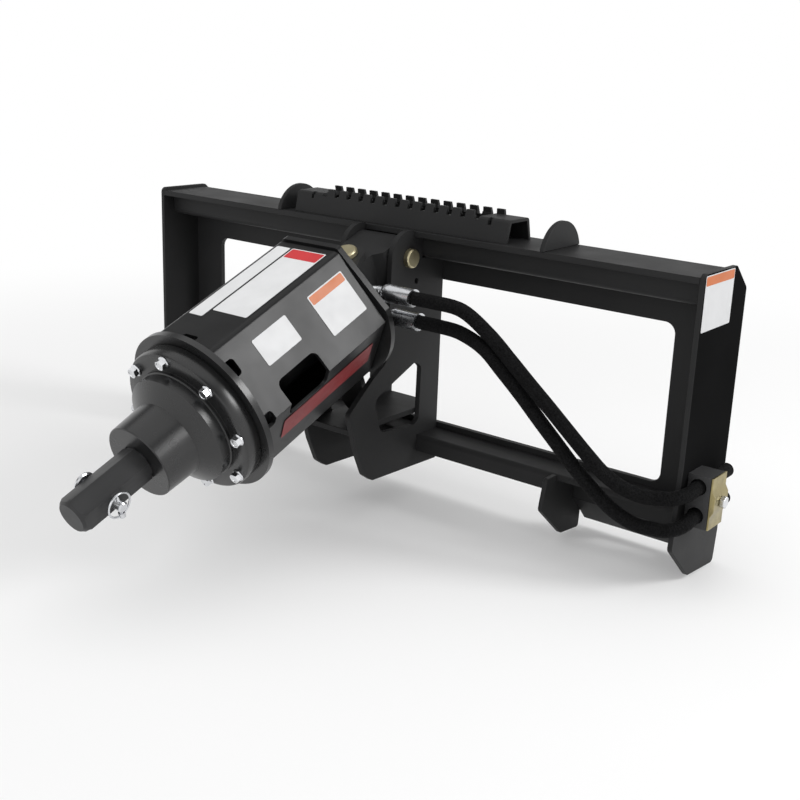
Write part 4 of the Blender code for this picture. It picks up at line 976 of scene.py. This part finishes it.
def curve_through(route, spacing=9.0):
    """Catmull Rom curve through the route, as evenly spaced points."""
    points = [Vector(p) for p in route]
    dense = []
    for i in range(len(points) - 1):
        p0 = points[max(i - 1, 0)]
        p1 = points[i]
        p2 = points[i + 1]
        p3 = points[min(i + 2, len(points) - 1)]
        for k in range(24):
            t = k / 24
            dense.append(0.5 * (2 * p1 + (p2 - p0) * t + (2 * p0 - 5 * p1 + 4 * p2 - p3) * t ** 2
                                + (3 * p1 - p0 - 3 * p2 + p3) * t ** 3))
    dense.append(points[-1])
    length = sum((b - a).length for a, b in zip(dense, dense[1:]))
    count = max(2, round(length / spacing))
    result = [dense[0]]
    walked = 0.0
    for a, b in zip(dense, dense[1:]):
        walked += (b - a).length
        while walked >= length * len(result) / count and len(result) < count:
            result.append(b)
    result.append(dense[-1])
    return result


FERRULE_START = 78.0
FERRULE_RADIUS = 15.2
FERRULE_END = 148.0
UPPER_PORT = (17.0, 115.0)
LOWER_PORT = (-27.0, 115.0)
PORT_OFFSET = UPPER_PORT[1] - SWING_S
FERRULE_REACH = math.hypot(FERRULE_END, PORT_OFFSET)
FERRULE_TIP = math.sqrt(FERRULE_REACH ** 2 - (PORT_OFFSET - FERRULE_RADIUS) ** 2)
HOSE_START = FERRULE_TIP + CLEARANCE


def hose_start(port):
    """First points of a hose, past the farthest point that the swinging ferrules reach."""
    return [frame_point(HOSE_START + step, port[0], port[1]) for step in (0.0, 18.0, 36.0)]


def hose_end(level):
    """Last points of a hose, straight through the clamp."""
    return [(HOSE_X, 34, level), (HOSE_X, 62, level), (HOSE_X, HOSE_END_Y, level)]


HOSE_UPPER = hose_start(UPPER_PORT) + [
    (240, -112, 389), (288, -108, 360), (325, -103, 327), (358, -98, 296), (391, -92, 265),
    (423, -85, 233), (452, -77, 203), (478, -68, 177), (504, -57, 159), (530, -44, 149),
    (553, -31, 148), (HALF_WIDTH - 0.5, -26, 151), (HALF_WIDTH + 13.5, -10, 156.5),
    (HOSE_X - 0.5, 12, 161)] + hose_end(HOSE_UPPER_Z)
HOSE_LOWER = hose_start(LOWER_PORT) + [
    (234, -105, 352), (279.5, -107, 336.5), (313, -102, 306), (345, -96, 274), (374, -90, 242),
    (404, -83, 209), (433, -76, 177), (462, -67, 147), (491, -56, 120), (520, -42, 102),
    (547, -31, 98), (HALF_WIDTH - 2.5, -29, 101), (HALF_WIDTH + 13.5, -13, 108),
    (HOSE_X - 0.5, 11, 115.5)] + hose_end(HOSE_LOWER_Z)
add_hose("hose_upper", HOSE_UPPER)
add_hose("hose_lower", HOSE_LOWER)


# Link between the frame and the drive
def along_b(a, s, b):
    return Vector((a, b, s))


def along_a(b, s, a):
    return Vector((a, b, s))


LIFT_BORE = LIFT_PIN_RADIUS + CLEARANCE
LINK_CENTRE = (LINK_LOW + LINK_HIGH) / 2
LINK_REAR = (LINK_HIGH - LINK_LOW) / 2
TONGUE_END = SWING_S + TONGUE_HALF
swing_link = add_piece("swing_link", LINK, "paint", [prism(
    rounded([(-LINK_HALF, LIFT_S - LINK_REAR - 5, 0), (LINK_HALF, LIFT_S - LINK_REAR - 5, 0),
             (LINK_HALF, LINK_BLOCK_END, 6), (TONGUE_HALF, LINK_BLOCK_END + 14, 8),
             (TONGUE_HALF, TONGUE_END, TONGUE_HALF - 0.2),
             (-TONGUE_HALF, TONGUE_END, TONGUE_HALF - 0.2),
             (-TONGUE_HALF, LINK_BLOCK_END + 14, 8), (-LINK_HALF, LINK_BLOCK_END, 6)]),
    LINK_LOW, LINK_HIGH, along_b, [ring(0, SWING_S, SWING_PIN_RADIUS + CLEARANCE, 32)])])
keep_common(swing_link, "keep_link_side", [prism(
    arc(LINK_CENTRE, LIFT_S, LINK_REAR, 180, 360, 14)
    + [(LINK_HIGH + 3, SWING_S), (LINK_HIGH + 3, SWING_S + 60), (LINK_LOW - 3, SWING_S + 60),
       (LINK_LOW - 3, SWING_S)],
    -LINK_HALF - 9, LINK_HALF + 9, along_a)], LINK)
cut(swing_link, "cut_lift_bore", [bore(
    LIFT_BORE, 70, 32, lambda b, s, a: Vector((a, b + LIFT_B, s + LIFT_S)))], LINK)


# Yoke plates and swing pin on the drive
def add_yoke(name, low):
    outline = (arc(0, SWING_S, YOKE_REAR_RADIUS, 180 + 8, 360 - 8, 12)
               + [(YOKE_HALF, SWING_S + 22), (YOKE_HALF, BACK_REAR - CLEARANCE),
                  (-YOKE_HALF, BACK_REAR - CLEARANCE), (-YOKE_HALF, SWING_S + 22)])
    add_piece(name, DRIVE, "paint", [prism(
        outline, low, low + YOKE_THICK, along_b,
        [ring(0, SWING_S, SWING_PIN_RADIUS + CLEARANCE, 24)])])


UPPER_YOKE = LINK_HIGH + CLEARANCE
LOWER_YOKE = LINK_LOW - CLEARANCE - YOKE_THICK
add_yoke("yoke_upper", UPPER_YOKE)
add_yoke("yoke_lower", LOWER_YOKE)


def around_swing(a, s, b):
    return Vector((a, b, s + SWING_S))


PIN_SEAT = UPPER_YOKE + YOKE_THICK + CLEARANCE
PIN_FOOT = LOWER_YOKE - CLEARANCE
add_piece("swing_pin", DRIVE, "gold", [turned(
    [(0, PIN_FOOT - 9), (SWING_PIN_RADIUS - 2, PIN_FOOT - 9), (SWING_PIN_RADIUS, PIN_FOOT - 7),
     (SWING_PIN_RADIUS, PIN_SEAT), (SWING_HEAD, PIN_SEAT), (SWING_HEAD, PIN_SEAT + 7),
     (SWING_HEAD - 2, PIN_SEAT + 9.5), (0, PIN_SEAT + 9.5)], 32, around_swing)])


# Back plate with the rest leg
def around_axis(a, b, s):
    return Vector((a, b, s))


leg_root = math.sqrt(BACK_ROUND ** 2 - LEG_HALF ** 2)
leg_angle = math.degrees(math.asin(LEG_HALF / BACK_ROUND))
BACK_OUTLINE = rounded(
    [(BACK_ROUND, 8, 0), (BACK_ROUND - 2, 17.5, 8), (BACK_SHOULDER, BACK_TOP, 8),
     (-BACK_SHOULDER, BACK_TOP, 8), (2 - BACK_ROUND, 17.5, 8), (-BACK_ROUND, 8, 0)]
    + sharp(arc(0, 0, BACK_ROUND, 184, 270 - leg_angle - 4, 9))
    + [(-LEG_HALF, -leg_root - 9, 0)]
    + sharp(arc(0, LEG_TIP + LEG_HALF, LEG_HALF, 180, 360, 12))
    + [(LEG_HALF, -leg_root - 9, 0)]
    + sharp(arc(0, 0, BACK_ROUND, 270 + leg_angle + 4, 356, 9)))
PORT_A = 62.0
PORT_HOLE = 12.0
back_plate = add_piece("back_plate", DRIVE, "shell", [prism(
    BACK_OUTLINE, BACK_REAR, BACK_FRONT, around_axis,
    [ring(PORT_A, UPPER_PORT[0], PORT_HOLE, 20), ring(PORT_A, LOWER_PORT[0], PORT_HOLE, 20)])])


# Housing shell, two bent halves that meet at the sides; its side faces slope by 30 degrees
FACE_DISTANCE = 109.0
FACE_COS = 0.866
FACE_SIN = 0.5


def shell_outline(sign, inset):
    level = sign * CLEARANCE / 2
    edge = SHELL_TOP if sign > 0 else SHELL_BOTTOM
    slope = Vector((SHELL_SIDE - SHELL_CORNER, edge)).normalized()
    side = SHELL_SIDE - inset / abs(slope.y)
    flat = edge - sign * inset
    corner = side - abs(flat) * (SHELL_SIDE - SHELL_CORNER) / abs(edge)
    radius = max(3.0, 10.0 - inset)
    return rounded([(side, level, 0), (corner, flat, radius), (-corner, flat, radius),
                    (-side, level, 0)])


def add_shell(name, sign):
    outer = shell_outline(sign, 0.0)
    inner = shell_outline(sign, SHELL_WALL)
    inner.reverse()
    return add_piece(name, DRIVE, "shell",
                     [prism(outer + inner, SHELL_REAR, SHELL_FRONT, around_axis)])


def slanted(side, sign):
    """Place (s, t, depth) on a sloping face: t runs up the face from its middle."""
    def place(s, t, depth):
        a = side * (FACE_DISTANCE * FACE_COS + depth * FACE_COS - t * FACE_SIN)
        b = sign * (FACE_DISTANCE * FACE_SIN + depth * FACE_SIN + t * FACE_COS)
        return Vector((a, b, s))
    return place


housing_upper = add_shell("housing_upper", 1)
housing_lower = add_shell("housing_lower", -1)
BIG_WINDOW = rounded([(303, -95, 0), (390, -95, 0), (390, -24, 12), (303, -24, 12)])
LOW_WINDOW = rounded([(303, -95, 0), (390, -95, 0), (390, -33, 12), (303, -33, 12)])
SLOT_START = SHELL_FRONT - 22.7
NOTCH = rounded([(SLOT_START, -95, 0), (SHELL_FRONT + 5, -95, 0), (SHELL_FRONT + 5, -48, 0),
                 (SLOT_START, -48, 6)])
SLOT = rounded([(SLOT_START, 17, 6), (SHELL_FRONT - 2, 17, 3), (SHELL_FRONT - 2, 44, 3),
                (SLOT_START, 44, 6)])
upper_cuts = []
lower_cuts = []
for side in (-1, 1):
    for outline in (BIG_WINDOW, NOTCH, SLOT):
        upper_cuts.append(prism(outline, -22, 18, slanted(side, 1)))
    for outline in (LOW_WINDOW, NOTCH):
        lower_cuts.append(prism(outline, -22, 18, slanted(side, -1)))
upper_cuts.append(prism(rounded([(-15, SLOT_START, 5), (15, SLOT_START, 5),
                                 (15, SHELL_FRONT - 2.7, 3), (-15, SHELL_FRONT - 2.7, 3)]),
                        SHELL_TOP - 12, SHELL_TOP + 8, along_b))
cut(housing_upper, "cut_upper_windows", upper_cuts, DRIVE)
cut(housing_lower, "cut_lower_windows", lower_cuts, DRIVE)


def hexagonal(inset):
    top = shell_outline(1, inset)
    low = shell_outline(-1, inset)
    low.reverse()
    return top[1:-1] + [(top[-1][0], 0.0)] + low[1:-1] + [(top[0][0], 0.0)]


add_to(back_plate, "weld_land", [prism(
    hexagonal(2.5), BACK_FRONT - 4, SHELL_REAR - CLEARANCE, around_axis,
    [hexagonal(14.0)])], DRIVE)


def circle_points(radius, count, start=0.0):
    return [(radius * math.cos(math.radians(start + 360.0 * k / count)),
             radius * math.sin(math.radians(start + 360.0 * k / count))) for k in range(count)]


BOLTS = circle_points(BOLT_CIRCLE, BOLT_COUNT)
BOLT_HOLES = [ring(x, y, BOLT_HOLE, 10) for x, y in BOLTS]
add_piece("housing_ring", DRIVE, "cast", [prism(
    ring(0, 0, RING_RADIUS, 48), RING_REAR, RING_FRONT, around_axis,
    [ring(0, 0, RING_BORE, 40)] + BOLT_HOLES)])

# Gearbox case: nose, flange and the wall behind it; both bearings go in from the rear
LIP_BORE = SHAFT_RADIUS + 0.6
SEAL_END = NOSE_END - NOSE_LIP
SEAL_START = SEAL_END - SEAL_DEPTH
gearbox_case = add_piece("gearbox_case", DRIVE, "cast", [turned(
    [(CARRIER_BORE, CASE_REAR), (CASE_RADIUS, CASE_REAR), (CASE_RADIUS, FLANGE_REAR),
     (FLANGE_RADIUS - 1, FLANGE_REAR), (FLANGE_RADIUS, FLANGE_REAR + 2),
     (FLANGE_RADIUS, FLANGE_FRONT - 5), (FLANGE_RADIUS - 1.5, FLANGE_FRONT - 1.5),
     (FLANGE_RADIUS - 5, FLANGE_FRONT), (HUB_RADIUS, FLANGE_FRONT),
     (HUB_RADIUS, FLANGE_FRONT + 5), (HUB_RADIUS - 2, FLANGE_FRONT + 6),
     (HUB_RADIUS - 2, HUB_FRONT), (NOSE_RADIUS + 2.5, CONE_FRONT), (NOSE_RADIUS, NOSE_END - 1.5),
     (NOSE_RADIUS - 1.5, NOSE_END), (LIP_BORE, NOSE_END), (LIP_BORE, SEAL_END),
     (SEAL_SEAT, SEAL_END), (SEAL_SEAT, SEAL_START), (NOSE_SEAT, SEAL_START),
     (NOSE_SEAT, REAR_SEAT_END), (REAR_SEAT, REAR_SEAT_END), (REAR_SEAT, REAR_SEAT_START),
     (CARRIER_BORE, REAR_SEAT_START)], 40, around_axis, closed=True)])
cut(gearbox_case, "cut_flange_holes", [turned(
    [(0, FLANGE_REAR - 6), (BOLT_HOLE, FLANGE_REAR - 6), (BOLT_HOLE, FLANGE_FRONT + 6),
     (0, FLANGE_FRONT + 6)], 10, shifted(around_axis, x, y, 0)) for x, y in BOLTS],
    DRIVE)


def add_bolt(name, centre, seat, foot, turn):
    """Hexagon flange bolt: shank, washer face with a rolled rim, chamfered and dished head."""
    x, y = centre
    place = shifted(around_axis, x, y, 0)
    flats = 2 * BOLT_HEAD * math.cos(math.radians(30.0)) + 0.6
    piece = add_piece(name, DRIVE, "bright", [turned(
        [(0, foot), (BOLT_RADIUS, foot), (BOLT_RADIUS, seat), (BOLT_WASHER, seat),
         (BOLT_WASHER, seat + 1.0), (BOLT_WASHER - 0.9, seat + 1.9), (BOLT_HEAD - 0.8, seat + 2.6),
         (BOLT_HEAD - 0.8, seat + 4), (0, seat + 4)], 12, place)], bevel=0.25)
    add_to(piece, name + "_hex", [prism(hexagon(0, 0, flats, turn), seat + 2.0, seat + 10, place)],
           DRIVE)
    keep_common(piece, name + "_chamfer", [turned(
        [(0, foot - 1), (BOLT_WASHER + 1, foot - 1), (BOLT_WASHER + 1, seat + 6),
         (BOLT_HEAD + 0.9, seat + 8.6), (BOLT_HEAD - 0.9, seat + 10), (BOLT_HEAD - 2.6, seat + 9.9),
         (BOLT_HEAD - 3.1, seat + 9.3), (0, seat + 9.2)], 16, place)], DRIVE)


for number, centre in enumerate(BOLTS, 1):
    add_bolt("flange_bolt_" + str(number), centre, FLANGE_FRONT + CLEARANCE, RING_REAR + 1,
             17.0 * number)


# Output shaft: round in its bearings, then the hexagon that takes the auger
HEX_CUTS = 36 * FINE
HEX_CORNER = 26.4
HEX_TIP = 22.5
hex_points = []
for k in range(HEX_CUTS):
    angle = 360.0 * k / HEX_CUTS
    reach = HEX_FLAT / 2 / math.cos(math.radians((angle + 30.0) % 60.0 - 30.0))
    turn = math.radians(angle + HEX_ROLL)
    hex_points.append((reach * math.cos(turn), reach * math.sin(turn)))


def shaft_circle(radius):
    return circle_points(radius, HEX_CUTS, HEX_ROLL)


def hex_within(limit):
    return [tuple(Vector(p) * min(1.0, limit / Vector(p).length)) for p in hex_points]


output_shaft = add_piece("output_shaft", SPIN, "shaft", [loft(
    [(shaft_circle(SHAFT_RADIUS - 1), CARRIER_REAR), (shaft_circle(SHAFT_RADIUS), CARRIER_REAR + 1),
     (shaft_circle(SHAFT_RADIUS), HEX_START), (hex_points, HEX_START + 0.4),
     (hex_points, HEX_END - 10), (hex_within(HEX_CORNER), HEX_END - 4),
     (hex_within(HEX_TIP), HEX_END)], around_axis)])
roll = math.radians(HEX_ROLL)
PIN_U = Vector((math.cos(roll), math.sin(roll), 0.0))
PIN_V = Vector((-math.sin(roll), math.cos(roll), 0.0))


def around_pin(v, s, u):
    return PIN_U * u + PIN_V * v + Vector((0.0, 0.0, PIN_S + s))


def around_lynch(s, u, v):
    return PIN_U * (u + LYNCH_OFFSET) + PIN_V * v + Vector((0.0, 0.0, PIN_S + s))


def around_eye(v, u, s):
    return PIN_U * (u + LYNCH_OFFSET) + PIN_V * (v - LYNCH_RING) + Vector((0.0, 0.0, PIN_S + s))


cut(output_shaft, "cut_pin_hole", [bore(PIN_HOLE, 50, 24, around_pin)], SPIN)
hitch_pin = add_piece("hitch_pin", SPIN, "zinc", [turned(
    [(0, PIN_LEFT), (PIN_HEAD - 2, PIN_LEFT), (PIN_HEAD, PIN_LEFT + 2), (PIN_HEAD, PIN_LEFT + 4),
     (PIN_HEAD - 2, PIN_LEFT + 6), (PIN_RADIUS, PIN_LEFT + 6), (PIN_RADIUS, PIN_RIGHT - 2),
     (PIN_RADIUS - 2, PIN_RIGHT), (0, PIN_RIGHT)], 24, around_pin)])
cut(hitch_pin, "cut_lynch_hole", [bore(LYNCH_RADIUS + CLEARANCE, 12, 12, around_lynch)], SPIN)
lynch_pin = add_piece("lynch_pin", SPIN, "zinc", [turned(
    [(0, -23.5), (4, -23.5), (4.8, -22.5), (4.8, -14.5), (LYNCH_RADIUS, -14.5),
     (LYNCH_RADIUS, 14), (1.2, 16), (0, 16)], 12, around_lynch)])
cut(lynch_pin, "cut_ring_eye", [bore(LYNCH_WIRE + 0.4, 9, 12, around_eye)], SPIN)
loop = [(-LYNCH_RING, -5.2), (-LYNCH_RING, 5.2)]
loop += [(-LYNCH_RING * math.cos(math.radians(t)), LYNCH_RING * math.sin(math.radians(t)))
         for t in range(30, 331, 5)]
add_piece("lynch_ring", RINGLET, "zinc", [pipe(
    [around_pin(v, s, LYNCH_OFFSET) for v, s in loop], LYNCH_WIRE, 8, closed=True)])

# Motor: port block, stator and shaft housing
add_piece("port_block", DRIVE, "paint", [prism(
    rounded([(PORT_LEFT, -PORT_HALF, 12), (PORT_RIGHT, -PORT_HALF, 12),
             (PORT_RIGHT, PORT_HALF, 12), (PORT_LEFT, PORT_HALF, 12)]),
    PORT_REAR, PORT_FRONT, around_axis)])
MOTOR_BORE = MOTOR_SHAFT + 0.6
add_piece("motor_housing", DRIVE, "paint", [turned(
    [(MOTOR_BORE, PORT_FRONT + CLEARANCE), (MOTOR_RADIUS, PORT_FRONT + CLEARANCE),
     (MOTOR_RADIUS, NECK_REAR - 10), (NECK_RADIUS, NECK_REAR), (NECK_RADIUS, NECK_FRONT),
     (NECK_RADIUS + 12, NECK_FRONT + 12), (CASE_RADIUS - 2, COVER_FRONT - 17.7),
     (CASE_RADIUS, COVER_FRONT - 15.7), (CASE_RADIUS, COVER_FRONT), (MOTOR_BORE, COVER_FRONT)],
    32, around_axis, closed=True)])


# Port fittings behind the back plate, each turning toward its hose
ELBOW_BEND = 14.0
ELBOW_RADIUS = 9.0


def elbow_body(port):
    b, s = port
    bend = ELBOW_BEND
    path = [Vector((PORT_A, b, PORT_REAR - CLEARANCE)), Vector((PORT_A, b, s + bend))]
    for k in range(1, 19):
        angle = math.radians(90.0 * k / 18)
        path.append(Vector((PORT_A + bend * (1 - math.cos(angle)), b,
                            s + bend * (1 - math.sin(angle)))))
    path.append(Vector((FERRULE_START, b, s)))
    return pipe(path, ELBOW_RADIUS, 16)


add_piece("port_elbow_upper", DRIVE, "bright", [elbow_body(UPPER_PORT)])
add_piece("port_elbow_lower", DRIVE, "bright", [elbow_body(LOWER_PORT)])


# Ferrules end on a cylinder round the swing pin, so they clear the hoses as the drive swings
def add_ferrule(name, port):
    start = FERRULE_START + CLEARANCE
    long_end = FERRULE_END + 4
    ferrule = add_piece(name, DRIVE, "crimp", [turned(
        [(0, start), (8.6, start), (9.4, start + 1), (9.4, start + 5), (8.2, start + 6.5),
         (9.8, start + 9), (12.6, start + 12.5), (FERRULE_RADIUS - 0.1, start + 17),
         (FERRULE_RADIUS - 0.1, start + 26), (FERRULE_RADIUS - 0.8, start + 28),
         (FERRULE_RADIUS - 0.8, long_end), (0, long_end)], 24,
        lambda b, s, a: Vector((a, b + port[0], s + port[1])))])
    keep_common(ferrule, name + "_sweep", [prism(
        ring(0, SWING_S, FERRULE_REACH, 240), port[0] - 30, port[0] + 30, along_b)], DRIVE)


add_ferrule("ferrule_upper", UPPER_PORT)
add_ferrule("ferrule_lower", LOWER_PORT)

# Inner pieces keep their solids and get their metals
for name in ("rear_bearing", "nose_bearing", "ring_gear", "sun_gear", "planet_gear_1",
             "planet_gear_2", "planet_gear_3", "planet_carrier"):
    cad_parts[name].material_slots[0].material = LOOKS["steel"]
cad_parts["shaft_seal"].material_slots[0].material = LOOKS["rubber"]


# Labels: blank plates, each with a plain colour band at most
def label(name, where, look, edges, place, lift):
    """Thin plate with rounded corners; edges are x0, x1, y0, y1 on the surface of place."""
    outline = rounded([(x, y, 2.5) for x, y in box_corners(*edges)])
    add_piece(name, where, look, [prism(outline, 0.1, 0.1 + lift, place)], bevel=0.0,
              stands_for=[])


def on_top(s, a, height):
    return Vector((a, SHELL_TOP + height, s))


def on_end(y, z, height):
    return Vector((HALF_WIDTH + height, y, z))


PRINT = 0.25
OVERPRINT = 0.45
right_face = slanted(1, 1)
lower_face = slanted(1, -1)
label("edge_strip", DRIVE, "ink", (176, 382, -54, -22), on_top, PRINT)
label("plate_strip", DRIVE, "label", (178, 380, -52, -24), on_top, OVERPRINT)
label("plate_top", DRIVE, "label", (177, 361, -20, 50), on_top, PRINT)
label("band_top", DRIVE, "red", (179, 203, -18, 48), on_top, OVERPRINT)
label("plate_side", DRIVE, "plate", (310, 383, 0, 44), right_face, PRINT)
label("plate_warning", DRIVE, "plate", (180, 260, -28, 43), right_face, PRINT)
label("band_warning", DRIVE, "orange", (182, 258, 27, 41), right_face, OVERPRINT)
label("plate_decal", DRIVE, "darkred", (188, 400, -31, 14), lower_face, PRINT)
label("plate_end", FRAME, "plate", (3.5, 100, 394, 476), on_end, PRINT)
label("band_end", FRAME, "orange", (5, 98.5, 461, 474.5), on_end, OVERPRINT)


# Floor, backdrop and light
FLOOR_LEVEL = CAD_BOX[0][2] - 0.0005
FLOOR_HALF = 14.0
WHITE = 1.0
CEILING = 0.16
ROOM_LIGHT = 0.6
PURE = (1.0, 1.0, 1.0, 1.0)


def add_floor():
    """Pale floor that turns into the white backdrop with distance; near the object a quarter of it
    is glow, painted light that makes its shadows paler.
    """
    mesh = bpy.data.meshes.new("floor")
    corners = box_corners(-FLOOR_HALF, FLOOR_HALF, -FLOOR_HALF, FLOOR_HALF)
    mesh.from_pydata([(x, y, 0.0) for x, y in corners], [], [(0, 1, 2, 3)])
    shader = Shader("floor_paint", (0.84, 0.84, 0.84), 0.9)
    shader.vary_colour(1.2, (0.835, 0.835, 0.835), (0.845, 0.845, 0.845))
    shader.gloss(0.1)
    ball = shader.node("ShaderNodeTexGradient", gradient_type="SPHERICAL")
    near = shader.node("ShaderNodeMapping", Scale=(0.22, 0.22, 0.22))
    shader.link(shader.place, "Object", near, "Vector")
    shader.link(near, "Vector", ball, "Vector")
    # The quarter glow near the object is painted light that lightens the shadows on the floor.
    share = shader.ramp(ball, "Fac", 0.45, 0.80, 1.0, 0.25)
    share.interpolation_type = "SMOOTHSTEP"
    glow = shader.node("ShaderNodeEmission", Color=PURE, Strength=WHITE)
    blend = shader.choose(share, "Result", shader.main, glow)
    shader.link(blend, 0, shader.tree.nodes["Material Output"], "Surface")
    floor = bpy.data.objects.new("floor", mesh)
    floor.location = (0.1, -0.3, FLOOR_LEVEL)
    mesh.materials.append(shader.material)
    bpy.context.scene.collection.objects.link(floor)


def add_light(name, location, target, size, power):
    data = bpy.data.lights.new(name, "AREA")
    data.shape = "RECTANGLE"
    data.size = size[0]
    data.size_y = size[1]
    data.energy = power
    light = bpy.data.objects.new(name, data)
    bpy.context.scene.collection.objects.link(light)
    light.location = location
    aim = Vector(target) - Vector(location)
    light.rotation_euler = aim.to_track_quat("-Z", "Y").to_euler()


def add_world():
    """White studio: reflections show its pale walls and dim ceiling, and its light is soft."""
    world = bpy.data.worlds.new("studio")
    bpy.context.scene.world = world
    world.use_nodes = True
    wires = Wiring(world.node_tree)
    wires.tree.nodes.clear()
    seen = wires.node("ShaderNodeBackground", Color=PURE, Strength=WHITE)
    lit = wires.node("ShaderNodeBackground", Color=PURE, Strength=ROOM_LIGHT)
    shine = wires.node("ShaderNodeBackground", Color=PURE)
    split = wires.node("ShaderNodeSeparateXYZ")
    wires.link(wires.node("ShaderNodeTexCoord"), "Generated", split, 0)
    wall = wires.ramp(split, "Z", 0.32, 0.56, WHITE, CEILING)
    wires.link(wall, "Result", shine, "Strength")
    path = wires.node("ShaderNodeLightPath")
    glossy = wires.node("ShaderNodeMath", operation="MAXIMUM")
    wires.link(path, "Is Glossy Ray", glossy, 0)
    wires.link(path, "Is Transmission Ray", glossy, 1)
    mirror = wires.choose(glossy, 0, lit, shine)
    mix = wires.choose(path, "Is Camera Ray", mirror, seen)
    wires.link(mix, 0, wires.node("ShaderNodeOutputWorld"), "Surface")


add_floor()
add_world()
add_light("overhead", (-0.3, -0.6, 3.2), (0.0, -0.3, 0.0), (4.5, 4.5), 52.0)
add_light("right_bank", (3.2, 1.15, 2.15), (0.0, -0.35, 0.0), (1.45, 1.45), 80.0)
add_light("front_bank", (0.6, -4.2, 1.8), (0.0, -0.3, 0.0), (2.4, 1.6), 15.0)

bpy.context.view_layer.update()
